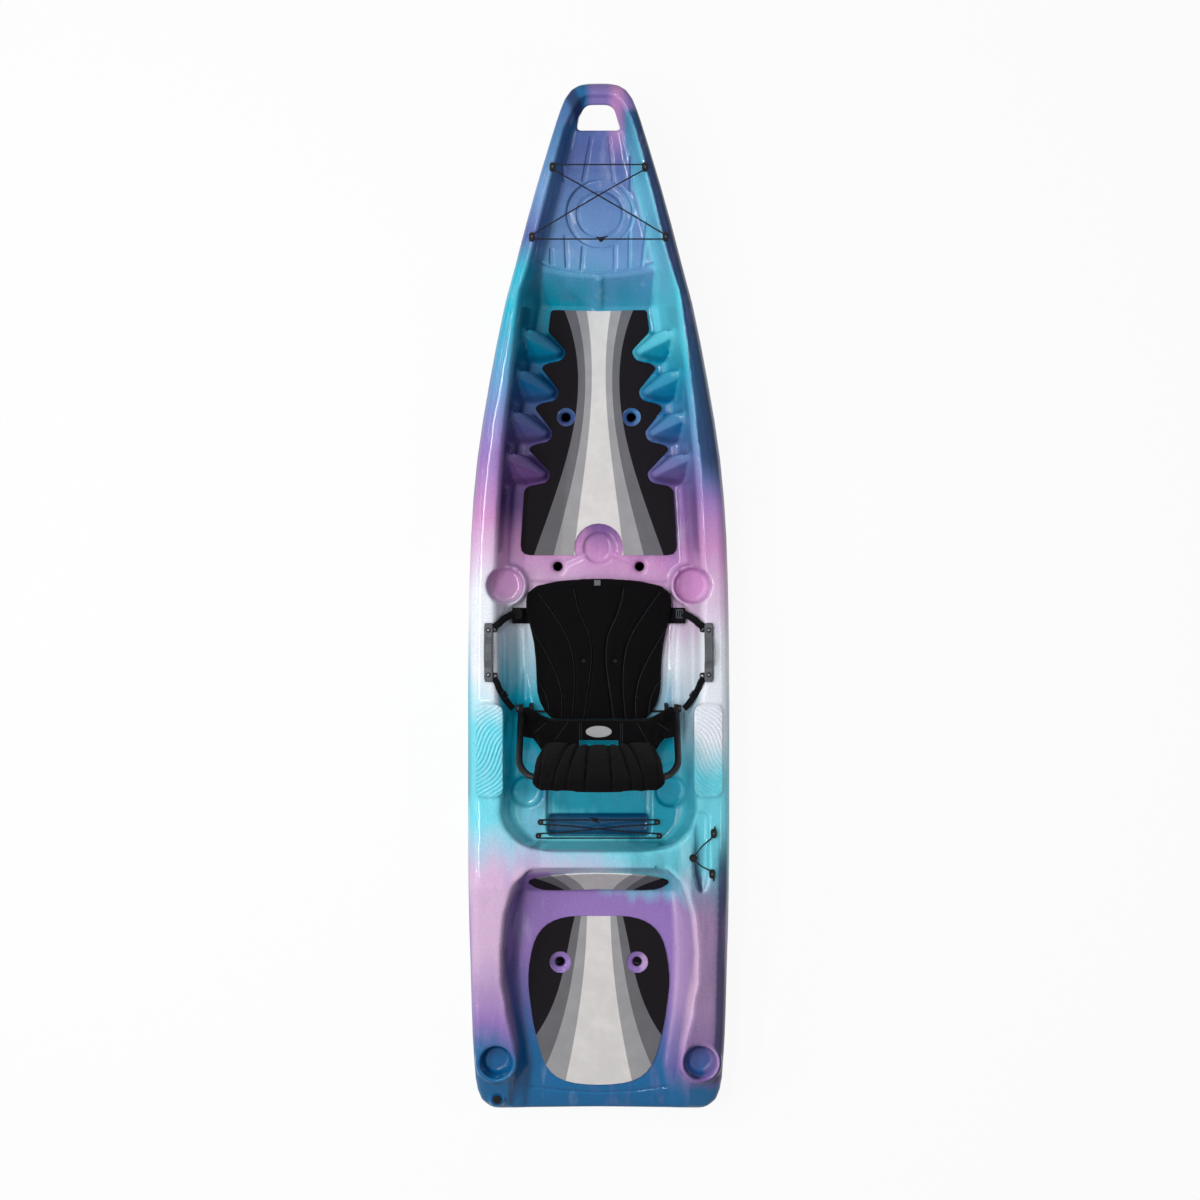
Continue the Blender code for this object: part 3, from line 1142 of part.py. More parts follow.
def clip_end(side, end):
    """Where a strap meets its clip."""
    reach = clip_slack() + clip_inset() + CLIP_RADIUS + CLIP_WIRE + 5 * CLEARANCE
    return strap_eye(side, end) + strap_run(side, end) * reach + Vector((0, 0, CLIP_LIFT))


# Seat: a moulded pan with its cushion, and a back that folds on two pins

def cushion_columns(edge, outer, middle, inner):
    """Places across half a cushion, and how deep the channel is at each."""
    c = CHANNEL_HALF
    places = [(0.0, 0), (inner - c, 0), (inner, 1), (inner + c, 0), ((inner + middle) / 2, 0),
              (middle - c, 0), (middle, 1), (middle + c, 0),
              ((middle + outer) / 2, 0), (outer - c, 0), (outer, 1), (outer + c, 0), ((outer + edge) / 2,
                      0), (edge - 0.006, 0), (edge, 0)]
    out = []
    last = -1.0
    for k, (x, deep) in enumerate(places):
        x = min(x, edge - 0.0012 * (len(places) - 1 - k))
        x = max(x, last + 0.0006)
        out.append((x, deep))
        last = x
    return out


def cushion_mesh(rows, place, thick, crown):
    """A padded form; place turns (x, along, height) into a point."""
    bm = bmesh.new()
    tops, bottoms = [], []
    ends = len(rows) - 1
    for r, (along, edge, outer, middle, inner) in enumerate(rows):
        t = r / ends
        fall = 1 - (2 * t - 1) ** 6
        half = cushion_columns(edge, outer, middle, inner)
        full = [(-x, d) for x, d in reversed(half[1:])] + half
        top = []
        for x, deep in full:
            share = abs(x) / edge
            round_off = max(0.0, 1 - share ** 8) ** 0.5
            height = thick * (0.45 + 0.55 * round_off * (0.35 + 0.65 * fall))
            height += crown * (1 - share ** 2) * fall - deep * CHANNEL_DEPTH * fall
            top.append(bm.verts.new(place(x, along, height)))
        tops.append(top)
        bottoms.append([bm.verts.new(place(edge * share, along, 0.0)) for share in (-1, -0.5, 0, 0.5, 1)])
    for low, high in zip(tops, tops[1:]):
        for i in range(len(low) - 1):
            bm.faces.new((low[i], low[i + 1], high[i + 1], high[i]))
    for under, under_next, low, high in zip(bottoms, bottoms[1:], tops, tops[1:]):
        for i in range(len(under) - 1):
            bm.faces.new((under[i], under[i + 1], under_next[i + 1], under_next[i]))
        bm.faces.new((under[0], under_next[0], high[0], low[0]))
        bm.faces.new((under[-1], low[-1], high[-1], under_next[-1]))
    for under, row in ((bottoms[0], tops[0]), (bottoms[-1], tops[-1])):
        bm.faces.new(under[:1] + row + under[:0:-1])
    return bm


def back_place(x, along, height):
    """A point on the back pad: along is up the pad, height out of its front."""
    base = PIVOT + Vector((0.0, -0.113, 0.020))
    t = along / BACK_ROWS[-1][0]
    lean = math.radians(BACK_LEAN + BACK_CURL * t)
    steps = 8
    point = base.copy()
    for i in range(steps):
        a = math.radians(BACK_LEAN + BACK_CURL * t * (i + 0.5) / steps)
        point += Vector((0.0, -math.sin(a), math.cos(a))) * along / steps
    bow = 0.022 * (x / 0.20) ** 2
    front = Vector((0.0, math.cos(lean), math.sin(lean)))
    return point + Vector((x, 0.0, 0.0)) + front * (height - BACK_PAD_THICK + bow)


def seat_levels():
    pan_low = SEAT_FLOOR + CLEARANCE
    pan_top = pan_low + PAN_THICK
    foot_top = pan_top + CLEARANCE + 0.003
    return pan_low, pan_top, foot_top, foot_top + CLEARANCE


def pan_outline():
    half = [(edge - 0.010, SEAT_Y + along) for along, edge, *rest in CUSHION_ROWS[1:-1:2]]
    right = [Vector((0.0, SEAT_FRONT - 0.006))] + [Vector(p) for p in half]
    right += [Vector((0.150, SEAT_BACK + 0.012)), Vector((0.0, SEAT_BACK + 0.012))]
    return right + [Vector((-p.x, p.y)) for p in reversed(right[1:-1])]


def arm_frame():
    """Directions of the seat back: up along the arms, and out of its front."""
    along = Vector((0.0, -math.sin(RECLINE), math.cos(RECLINE)))
    front = Vector((0.0, math.cos(RECLINE), math.sin(RECLINE)))
    return along, front


def behind_pad(x, along):
    """Where the frame's tube bears on the back of the pad."""
    return back_place(x, along, -ARM_RADIUS - 2 * CLEARANCE)


def frame_route():
    """The bent tube of the seat back, from the port pin up, across behind the pad and down."""
    along, front = arm_frame()
    arm = [Vector((ARM_X, 0, 0)) + PIVOT + along * up for up in (0.024, 0.10, 0.19, 0.26)]
    arm += [Vector((ARM_X - inward, 0, 0)) + PIVOT + along * up - front * back for inward, up,
            back in ARM_BEND]
    bar = [behind_pad(x, BAR_ALONG) for x in (0.160, 0.110, 0.055, 0.0)]
    starboard = arm + bar
    port = [Vector((-p.x, p.y, p.z)) for p in starboard]
    return port + starboard[-2::-1]


def tube_mesh(route, radius, sides=10):
    rings = []
    across = Vector((0.0, math.cos(RECLINE), math.sin(RECLINE)))
    for i, point in enumerate(route):
        ahead = (route[min(i + 1, len(route) - 1)] - route[max(i - 1, 0)]).normalized()
        side = (across - ahead * across.dot(ahead)).normalized()
        up = ahead.cross(side)
        turns = [2 * math.pi * j / sides for j in range(sides)]
        rings.append([point + side * radius * math.cos(a) + up * radius * math.sin(a) for a in turns])
    return loft(rings)


def pin_solid(profile, x_sign, segments=16):
    """A solid turned about the hinge axis; profile is (radius, distance out from the middle)."""
    bm = turned(profile, (0.0, 0.0), segments)
    bm.transform(Matrix.Translation(PIVOT) @ Matrix.Rotation(x_sign * math.pi / 2, 4, "Y"))
    return bm


def build_seat(pan_material, fabric, frame_material, web_material, grey_material, screw_material):
    pan_low, pan_top, foot_top, cushion_low = seat_levels()
    new_object("seat_pan", prism(pan_outline(), pan_low, pan_top), pan_material, smooth=False)

    def cushion_place(x, along, height):
        lip = 0.010 * smooth_step(-0.012, 0.045, along)
        bulge = CUSHION_BULGE * max(0.0, 1 - (x / 0.2) ** 2) * smooth_step(-0.10, 0.045, along)
        return Vector((x, SEAT_Y + along + bulge, cushion_low + height + (lip if height > 0 else 0.0)))

    new_object("seat_cushion", cushion_mesh(CUSHION_ROWS, cushion_place, CUSHION_THICK - 0.010, 0.010),
               fabric)

    back_parent = bpy.data.objects.new("seat_back_hinge", None)
    back_parent.location = PIVOT
    bpy.context.collection.objects.link(back_parent)
    bpy.context.view_layer.update()

    new_object("backrest_pad", cushion_mesh(BACK_ROWS, back_place, BACK_PAD_THICK, 0.006), fabric,
               parent=back_parent)
    frame = new_object("back_frame", tube_mesh(smooth_curve(frame_route(), 2), ARM_RADIUS), frame_material,
                       parent=back_parent)
    for side, word in ((-1, "port"), (1, "starboard")):
        eye_inner, eye_outer = ARM_X - 0.007, ARM_X + 0.007
        along, front = arm_frame()
        lug = [(EAR_RADIUS * math.cos(a), EAR_RADIUS * math.sin(a))
               for a in (math.pi * k / 8 for k in range(8, 17))]
        lug += [(0.010, 0.030), (-0.010, 0.030)]
        bm = bmesh.new()
        rows = [[bm.verts.new(PIVOT + Vector((side * x, 0, 0)) + front * u + along * w) for u, w in lug]
                for x in (eye_inner, eye_outer)]
        bm.faces.new(rows[0])
        bm.faces.new(rows[1])
        for i in range(len(lug)):
            j = (i + 1) % len(lug)
            bm.faces.new((rows[0][i], rows[0][j], rows[1][j], rows[1][i]))
        carve(frame, bm, f"join_arm_lug_{word}", "UNION")
        carve(frame, pin_solid(((HINGE_PIN_RADIUS + CLEARANCE, ARM_X - 0.03),
                                (HINGE_PIN_RADIUS + CLEARANCE, ARM_X + 0.03)), side), f"cut_arm_bore_{word}")

        bm = boxed(*sorted((side * 0.150, side * (EAR_X + EAR_THICK / 2))), PIVOT.y - 0.018, PIVOT.y + 0.018,
                   pan_top + CLEARANCE, foot_top)
        bracket = new_object(f"hinge_bracket_{word}", bm, frame_material)
        ear = [(-0.018, pan_top + CLEARANCE - PIVOT.z), (0.018, pan_top + CLEARANCE - PIVOT.z)]
        ear += [(EAR_RADIUS * math.cos(a), EAR_RADIUS * math.sin(a))
                for a in (math.pi * k / 8 for k in range(9))]
        bm = bmesh.new()
        rows = [[bm.verts.new(PIVOT + Vector((side * x, u, w))) for u, w in ear]
                for x in (EAR_X - EAR_THICK / 2, EAR_X + EAR_THICK / 2)]
        bm.faces.new(rows[0])
        bm.faces.new(rows[1])
        for i in range(len(ear)):
            j = (i + 1) % len(ear)
            bm.faces.new((rows[0][i], rows[0][j], rows[1][j], rows[1][i]))
        carve(bracket, bm, f"join_ear_{word}", "UNION")
        carve(bracket, pin_solid(((HINGE_PIN_RADIUS + CLEARANCE, EAR_X - 0.02),
                                  (HINGE_PIN_RADIUS + CLEARANCE,
                                   EAR_X + 0.02)), side), f"cut_ear_bore_{word}")
        head = EAR_X - EAR_THICK / 2 - CLEARANCE
        knob = eye_outer + CLEARANCE
        new_object(f"hinge_pin_{word}", pin_solid((
            (0.006, head - 0.003), (0.007, head - 0.002), (0.007, head), (HINGE_PIN_RADIUS,
                    head), (HINGE_PIN_RADIUS, knob),
            (0.013, knob), (0.013, knob + 0.007), (0.010, knob + 0.010)), side), screw_material)

        tab_in, tab_out = TAB_X - 0.060, TAB_X + 0.022
        tab_y = SEAT_Y - 0.058
        low = pan_top - 0.006
        rows = []
        for x, z in ((tab_in, pan_top + CLEARANCE), (CUSHION_WIDEST + 0.001, pan_top + CLEARANCE),
                     (TAB_X, low + 0.046), (tab_out, low + 0.062)):
            rows.append([Vector((side * x, tab_y + dy, z + dz)) for dy,
                         dz in ((-0.026, 0), (0.026, 0), (0.026, TAB_THICK), (-0.026, TAB_THICK))])
        new_object(f"seat_tab_{word}", loft(rows), pan_material, smooth=False)
        slope = Vector((side * 0.022, 0.0, 0.016)).normalized()
        on_tab = Vector((side * (TAB_X + 0.006), tab_y + 0.006, low + 0.046 + TAB_THICK + 0.006 * 16 / 22))
        buckle_middle = on_tab + Vector((-side * slope.z, 0.0, abs(slope.x))) * (0.003 + 2 * CLEARANCE)
        across = Vector((0.0, 1.0, 0.0))
        rise = slope.cross(across) * side
        buckle = bmesh.new()
        rows = [[buckle.verts.new(buckle_middle + slope * u * 0.014 + across * v * 0.0155 + rise * w) for u,
                 v in ((-1, -1), (1, -1), (1, 1), (-1, 1))] for w in (-0.003, 0.003)]
        buckle.faces.new(rows[0])
        buckle.faces.new(rows[1])
        for i in range(4):
            j = (i + 1) % 4
            buckle.faces.new((rows[0][i], rows[0][j], rows[1][j], rows[1][i]))
        new_object(f"strap_buckle_{word}", buckle, grey_material, smooth=False)

        start = clip_end(side, "front")
        end = buckle_middle + slope * (0.014 + 2 * CLEARANCE)
        lead = end + slope * 0.012
        points = [start, start.lerp(lead, 0.35) + Vector((0, 0, -0.002)),
                  start.lerp(lead, 0.7) + Vector((0, 0, -0.003)), lead, end]
        across = [Vector((side * 0.5, 1.0, 0.1)), Vector((side * 0.45, 1.0, 0.0)),
                  Vector((side * 0.3, 1.0, 0.0)), Vector((0.0, 1.0, 0.0)), Vector((0.0, 1.0, 0.0))]
        new_object(f"seat_strap_{word}_front", swept_strap(points, WEBBING_WIDTH, WEBBING_THICK, across),
                   web_material, smooth=False)
        start = clip_end(side, "rear")
        end = PIVOT + Vector((side * (knob + 0.010 + CLEARANCE + WEBBING_THICK / 2), 0.010, 0.002))
        bend = end + Vector((side * 0.003, 0.014, 0.003))
        points = [start, start.lerp(bend, 0.35) + Vector((0, 0, -0.001)), start.lerp(bend, 0.65), bend, end,
                  end + Vector((0, -0.022, -0.002))]
        across = [Vector((side * 1.0, -0.6, 0.3)), Vector((side * 1.0, -0.5, 0.5)),
                  Vector((side * 0.8, 0.0, 1.0)), Vector((side * 0.3, 0.1, 1.0)),
                  Vector((0.0, 0.15, 1.0)), Vector((0.0, 0.15, 1.0))]
        new_object(f"seat_strap_{word}_rear", swept_strap(points, WEBBING_WIDTH * 0.9, WEBBING_THICK,
                across), web_material, smooth=False)

        wing = []
        for u, w, inner, outer in ((-0.022, -0.012, 0.135, 0.206), (-0.060, 0.000, 0.150, 0.222),
                                   (-0.092, 0.012, 0.161, 0.226), (-0.118, 0.040, 0.1834, 0.2225),
                                   (-0.128, 0.085, 0.2002, 0.214)):
            y, z = PIVOT.y + u, PIVOT.z + w
            wing.append([Vector((side * inner, y, z - 0.004)), Vector((side * outer, y, z - 0.002)),
                         Vector((side * outer, y, z + 0.006)), Vector((side * inner, y, z + 0.006))])
        new_object(f"backrest_wing_{word}", loft(wing), fabric, smooth=False, parent=back_parent)

    band = []
    for u, w in ((-0.046, -0.010), (-0.080, 0.001), (-0.108, 0.0088), (-0.122, 0.0150)):
        band.append([PIVOT + Vector((x, u, w + dz)) for x, dz in ((-BAND_HALF, 0), (BAND_HALF, 0),
                (BAND_HALF, 0.004), (-BAND_HALF, 0.004))])
    new_object("hinge_band", loft(band), fabric, smooth=False, parent=back_parent)
    patch = turned(((0.0425, 0.0), (0.0425, 0.0012)), (0.0, 0.0), 24)
    patch.transform(Matrix.Translation(PIVOT + Vector((0.0, -0.0755,
                                                       0.0041))) @ Matrix.Rotation(math.radians(-16), 4,
                                                               "X") @ Matrix.Diagonal((1.0, 0.45, 1.0, 1.0)))
    new_object("badge_patch", patch, grey_material, parent=back_parent)


clear_scene()
SHELL = finish_material("rotomoulded_shell", (0.10, 0.42, 0.62), 0.3)
FOAM = finish_material("deck_foam", (0.05, 0.05, 0.055), 0.9)
CORD = finish_material("bungee_cord", (0.015, 0.015, 0.015), 0.7)
HOOK = finish_material("black_nylon", (0.02, 0.02, 0.02), 0.4)
GREY = finish_material("grey_nylon", (0.12, 0.12, 0.13), 0.5)
STEEL = finish_material("stainless_steel", (0.55, 0.55, 0.55), 0.25, 1.0)
FABRIC = finish_material("seat_fabric", (0.01, 0.01, 0.011), 0.85)
TUBE = finish_material("painted_tube", (0.015, 0.015, 0.016), 0.35)
WEB = finish_material("webbing", (0.012, 0.012, 0.012), 0.8)
build_hull(SHELL)
build_pads(FOAM)
build_bungees(CORD, HOOK)
build_paddle_park(CORD, HOOK)
build_plug(HOOK, HOOK)
build_handles(GREY, STEEL, HOOK)
build_seat(HOOK, FABRIC, TUBE, WEB, GREY, STEEL)
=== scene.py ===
# %% [markdown]
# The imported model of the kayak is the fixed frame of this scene. Its pieces already stand in the right
# place, in metres, with +Y to the bow, +X to starboard and +Z up. Everything that follows is dressing:
# finer skins over the plain solids, finishes, light and a camera straight above the deck.

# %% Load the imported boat
import math

import bmesh
import bpy
import numpy as np
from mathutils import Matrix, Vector
from mathutils.bvhtree import BVHTree


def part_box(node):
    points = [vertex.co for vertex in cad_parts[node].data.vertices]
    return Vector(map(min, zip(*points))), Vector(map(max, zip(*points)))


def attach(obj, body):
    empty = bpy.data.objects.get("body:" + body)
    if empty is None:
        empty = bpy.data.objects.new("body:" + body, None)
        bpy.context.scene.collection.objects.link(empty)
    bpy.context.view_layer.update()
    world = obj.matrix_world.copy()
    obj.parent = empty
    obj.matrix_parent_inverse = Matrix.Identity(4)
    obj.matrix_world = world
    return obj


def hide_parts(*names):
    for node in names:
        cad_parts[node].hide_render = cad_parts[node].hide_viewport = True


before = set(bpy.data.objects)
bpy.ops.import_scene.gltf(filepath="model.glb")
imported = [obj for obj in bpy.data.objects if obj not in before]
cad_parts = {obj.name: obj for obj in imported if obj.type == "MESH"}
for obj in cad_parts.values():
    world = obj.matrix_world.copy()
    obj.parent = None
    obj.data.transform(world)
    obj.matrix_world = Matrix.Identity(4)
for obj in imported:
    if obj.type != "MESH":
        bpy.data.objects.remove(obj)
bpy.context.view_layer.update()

# %% [markdown]

# %% [markdown]
# A photograph taken straight down needs a camera straight above. The boat fills 1029 of the frame's 1200
# pixels, so from 8 metres above the deck a lens of 73.7 mm on a 36 mm sensor shows it at the same size.

# %% Camera
BOW = 1.6765
STERN = -1.6765
DECK_LEVEL = 0.25
VIEW_DISTANCE = 8.0
VIEW_WIDTH = 3.910
CAMERA_X = 0.0042
CAMERA_Y = 0.0055

lens = bpy.data.cameras.new("deck_camera")
lens.sensor_width = 36.0
lens.lens = lens.sensor_width * VIEW_DISTANCE / VIEW_WIDTH
lens.clip_end = 40.0
camera = bpy.data.objects.new("deck_camera", lens)
camera.location = (CAMERA_X, CAMERA_Y, DECK_LEVEL + VIEW_DISTANCE)
bpy.context.collection.objects.link(camera)
bpy.context.scene.camera = camera
bpy.context.scene.view_settings.view_transform = "Standard"
print("camera", tuple(round(v, 4) for v in camera.location), "lens", round(lens.lens, 2))


def seen_at(column, row, level):
    """The point of the boat at a height that shows at a column and row of the 1200 pixel frame."""
    reach = VIEW_WIDTH / 1200 * (DECK_LEVEL + VIEW_DISTANCE - level) / VIEW_DISTANCE
    return Vector(((column - 600) * reach + CAMERA_X, (600 - row) * reach + CAMERA_Y, level))

# %% [markdown]
# Shader maths reads best as sums. Value wraps one output socket, and Python's signs on it add Math nodes.
# Finish is one material: its node method adds any other node from a type, settings and socket values.

# %% Shader maths
def sign(operation, swapped=False):
    """A sign between two numbers, as one Math node; swapped is for a plain number on the left."""
    def method(self, other):
        return self.finish.maths(operation, *((other, self) if swapped else (self, other)))
    return method


class Value:
    """One number of a shader, which signs can work on."""

    def __init__(self, finish, socket):
        self.finish = finish
        self.socket = socket

    def __abs__(self):
        return self.finish.maths("ABSOLUTE", self)

    __add__ = sign("ADD")
    __radd__ = sign("ADD", True)
    __sub__ = sign("SUBTRACT")
    __rsub__ = sign("SUBTRACT", True)
    __mul__ = sign("MULTIPLY")
    __rmul__ = sign("MULTIPLY", True)
    __truediv__ = sign("DIVIDE")
    __pow__ = sign("POWER")


class Finish:
    """A material whose shader is written as sums."""

    def __init__(self, name):
        self.material = bpy.data.materials.new(name)
        self.material.use_nodes = True
        self.tree = self.material.node_tree
        self.tree.nodes.clear()
        self.shader = self.tree.nodes.new("ShaderNodeBsdfPrincipled")
        out = self.tree.nodes.new("ShaderNodeOutputMaterial")
        self.tree.links.new(self.shader.outputs[0], out.inputs[0])

    def node(self, kind, inputs=None, output=0, stops=None, **settings):
        """Adds a node: first its settings, then the values or links of its sockets."""
        made = self.tree.nodes.new("ShaderNode" + kind)
        for key, value in settings.items():
            setattr(made, key, value)
        if stops:
            fill_ramp(made.color_ramp, stops)
        for key, value in (inputs or {}).items():
            self.feed(made.inputs[key], value)
        return Value(self, made.outputs[output])

    def feed(self, socket, value):
        if isinstance(value, Value):
            self.tree.links.new(value.socket, socket)
        else:
            socket.default_value = value

    def maths(self, operation, *values):
        return self.node("Math", dict(enumerate(values)), operation=operation)

    def place(self):
        """The piece's own coordinates, whole and as three numbers."""
        whole = self.node("TexCoord", output="Object")
        parts = self.node("SeparateXYZ", {0: whole})
        node = parts.socket.node
        return whole, [Value(self, out) for out in node.outputs]

    def noise(self, where, scale, detail=2.0, roughness=0.5, stretch=None):
        """Soft noise from 0 to 1 about a half."""
        if stretch:
            where = self.node("Mapping", {0: where, 3: stretch})
        inputs = {"Vector": where, "Scale": scale, "Detail": detail, "Roughness": roughness}
        return self.node("TexNoise", inputs)

    def between(self, value, low, high, start=0.0, end=1.0):
        """A smooth step from start at low to end at high."""
        return self.node("MapRange", {0: value, 1: low, 2: high, 3: start, 4: end},
                         interpolation_type="SMOOTHSTEP")

    def mix(self, share, first, second):
        """Two colours, by share of the second."""
        made = self.tree.nodes.new("ShaderNodeMix")
        made.data_type = "RGBA"
        self.feed(made.inputs[0], share)
        self.feed(made.inputs[6], first)
        self.feed(made.inputs[7], second)
        return Value(self, made.outputs[2])

    def ramp(self, value, stops):
        """Colours along a value, straight between the stops."""
        made = self.node("ValToRGB", {0: value}, stops=stops)
        made.socket.node.color_ramp.interpolation = "LINEAR"
        return made

    def bump(self, height, strength, distance):
        return self.node("Bump", {"Strength": strength, "Distance": distance, "Height": height})

    def use(self, **sockets):
        """Feeds the shader's own sockets; an underscore stands for a space."""
        for name, value in sockets.items():
            self.feed(self.shader.inputs[name.replace("_", " ")], value)
        return self.material


def fill_ramp(ramp, stops):
    while len(ramp.elements) > 1:
        ramp.elements.remove(ramp.elements[-1])
    ramp.elements[0].position = stops[0][0]
    ramp.elements[0].color = stops[0][1]
    for position, paint in stops[1:]:
        ramp.elements.new(position).color = paint


def colour(red, green, blue):
    """A colour as a screen shows it, 0 to 255, turned into light."""
    def light(v):
        v = v / 255
        return v / 12.92 if v <= 0.04045 else ((v + 0.055) / 1.055) ** 2.4
    return (light(red), light(green), light(blue), 1.0)


print("shader maths ready")

# %% [markdown]
# The background is pure white in the photograph. White comes from the world and the floor as the camera,
# mirrors and glass see them, so the lamps needn't burn them out. Two long strips to port give the bright
# lines that run along the rails. A high box a little to port is the strongest lamp and fills the wells. A
# weak strip and a small fill stand to starboard.

# %% World, floor and lamps
world = bpy.data.worlds.new("studio")
world.use_nodes = True
bpy.context.scene.world = world
AMBIENT = 0.15
FLOOR_GLOW = 0.93


def seen_directly(tree):
    """1 for rays that show the background itself: from the camera, a mirror or glass."""
    path = tree.nodes.new("ShaderNodeLightPath")
    total = None
    for name in ("Is Camera Ray", "Is Glossy Ray", "Is Transmission Ray"):
        if total is None:
            total = path.outputs[name]
            continue
        add = tree.nodes.new("ShaderNodeMath")
        add.operation = "ADD"
        add.use_clamp = True
        tree.links.new(total, add.inputs[0])
        tree.links.new(path.outputs[name], add.inputs[1])
        total = add.outputs[0]
    return total


def shown(tree, share, plain, direct, end):
    """Sends one shader to the end of a tree, and a share of a second in its place."""
    either = tree.nodes.new("ShaderNodeMixShader")
    tree.links.new(share, either.inputs[0])
    tree.links.new(plain.outputs[0], either.inputs[1])
    tree.links.new(direct.outputs[0], either.inputs[2])
    tree.links.new(either.outputs[0], tree.nodes.new(end).inputs[0])


tree = world.node_tree
tree.nodes.clear()
dim = tree.nodes.new("ShaderNodeBackground")
dim.inputs[0].default_value = (0.90, 0.95, 1.0, 1.0)
dim.inputs[1].default_value = AMBIENT
white = tree.nodes.new("ShaderNodeBackground")
white.inputs[0].default_value = (1.0, 1.0, 1.0, 1.0)
white.inputs[1].default_value = 1.0
shown(tree, seen_directly(tree), dim, white, "ShaderNodeOutputWorld")

floor_finish = bpy.data.materials.new("white_floor")
floor_finish.use_nodes = True
tree = floor_finish.node_tree
tree.nodes.clear()
paper = tree.nodes.new("ShaderNodeBsdfDiffuse")
paper.inputs[0].default_value = (0.8, 0.8, 0.8, 1.0)
glow = tree.nodes.new("ShaderNodeEmission")
glow.inputs[1].default_value = 1.0
share = tree.nodes.new("ShaderNodeMath")
share.operation = "MULTIPLY"
share.inputs[1].default_value = FLOOR_GLOW
tree.links.new(seen_directly(tree), share.inputs[0])
shown(tree, share.outputs[0], paper, glow, "ShaderNodeOutputMaterial")

bpy.ops.mesh.primitive_plane_add(size=40.0, location=(0, 0, 0))
floor = bpy.context.object
floor.name = "studio_floor"
floor.data.materials.append(floor_finish)


def soft_box(name, place, aim, width, length, power, tint=(1.0, 1.0, 1.0)):
    """A lamp of width by length metres that stands at place and looks at aim."""
    lamp = bpy.data.lights.new(name, "AREA")
    lamp.shape = "RECTANGLE"
    lamp.size = length
    lamp.size_y = width
    lamp.energy = power
    lamp.color = tint
    box = bpy.data.objects.new(name, lamp)
    box.location = place
    direction = Vector(aim) - Vector(place)
    box.rotation_euler = direction.to_track_quat("-Z", "Y").to_euler()
    bpy.context.collection.objects.link(box)


soft_box("port_strip", (-3.3, 0.2, 2.7), (0, 0, 0.2), 0.05, 5.4, 52)
soft_box("port_second_strip", (-2.5, 0.2, 4.4), (0, 0, 0.2), 0.04, 5.0, 80)
soft_box("high_port_box", (-1.1, 0.4, 5.6), (0, 0.1, 0.2), 0.30, 3.6, 124)
soft_box("starboard_strip", (2.9, 0.1, 3.2), (0, 0, 0.2), 0.03, 4.6, 6, (0.9, 0.96, 1.0))
soft_box("starboard_fill", (2.2, -0.5, 3.4), (-0.3, -0.45, 0.2), 0.5, 0.9, 12)

# %% [markdown]
# The shell of such a boat is polyethylene powder, tumbled in a hot mould. Powders of several colours melt
# beside each other, so one colour drifts into the next in streaks along the boat with a grainy edge.
# Thirteen plain colours are listed. Eleven stand for the powders and are laid in bands down the boat, one run
# for the high rails and one for the floors of the wells, and each band is read at a place that noise has
# shifted. Navy and deep blue
# stand for no powder: they are painted shade, used further down.

# %% Powders and their bands down the boat
POWDERS = {
    "navy_shade": colour(14, 34, 78), "deep_blue_shade": colour(6, 66, 112), "blue": colour(12, 102, 156),
    "indigo": colour(82, 98, 164), "sky": colour(106, 150, 200), "turquoise": colour(24, 178, 206),
    "teal": colour(0, 150, 174), "aqua": colour(112, 214, 230), "frost": colour(228, 232, 240),
    "pink": colour(216, 182, 216), "rose": colour(198, 140, 192), "violet": colour(148, 116, 184),
    "plum": colour(112, 78, 138)}
LENGTH = BOW - STERN


def bands(*laid):
    """Ramp stops from pairs of metres behind the bow and the powder laid there."""
    return [(metres / LENGTH, POWDERS[powder]) for metres, powder in laid]


rail_bands = bands((0.10, "blue"), (0.38, "sky"), (0.52, "indigo"), (0.64, "turquoise"), (0.80, "turquoise"),
                   (1.05, "sky"), (1.25, "violet"), (1.48, "rose"), (1.60, "pink"), (1.75, "frost"),
                   (2.02, "frost"), (2.16, "aqua"), (2.46, "aqua"), (2.64, "pink"), (2.94, "pink"),
                   (3.16, "violet"), (3.26, "blue"))
well_bands = bands((0.00, "violet"), (0.20, "indigo"), (0.55, "sky"), (0.72, "teal"), (0.98, "blue"),
                   (1.26, "plum"), (1.42, "plum"), (1.54, "rose"), (1.70, "pink"), (1.80, "frost"),
                   (2.04, "turquoise"), (2.20, "turquoise"), (2.38, "teal"), (2.46, "aqua"), (2.55, "aqua"),
                   (2.62, "violet"), (2.90, "violet"), (3.08, "indigo"), (3.20, "blue"))
print("powders", len(POWDERS), "bands on the rails", len(rail_bands), "and in the wells", len(well_bands))

# %% [markdown]
# Which way a face points picks places that are painted lighter or darker, for lamps that stand to port.
# The outer roll of the starboard rail takes navy near the bow and behind the seat, and the port walls of the
# wells take navy too: both are painted shade. The top of the starboard rail takes blue forward and plum aft,
# partly its own colour and partly painted shade. The starboard walls, which face the port lamps, take the
# rail's colours and aqua at the bow as painted light. How much of each is a guess.

# %% Shell finish
SCUPPERS = ((0.1085, 0.612), (0.1355, 0.117), (0.127, -1.1895))
CUP_PLACE = (0.302, 0.055)
BORE_SHADE_COLOUR = colour(12, 14, 26)

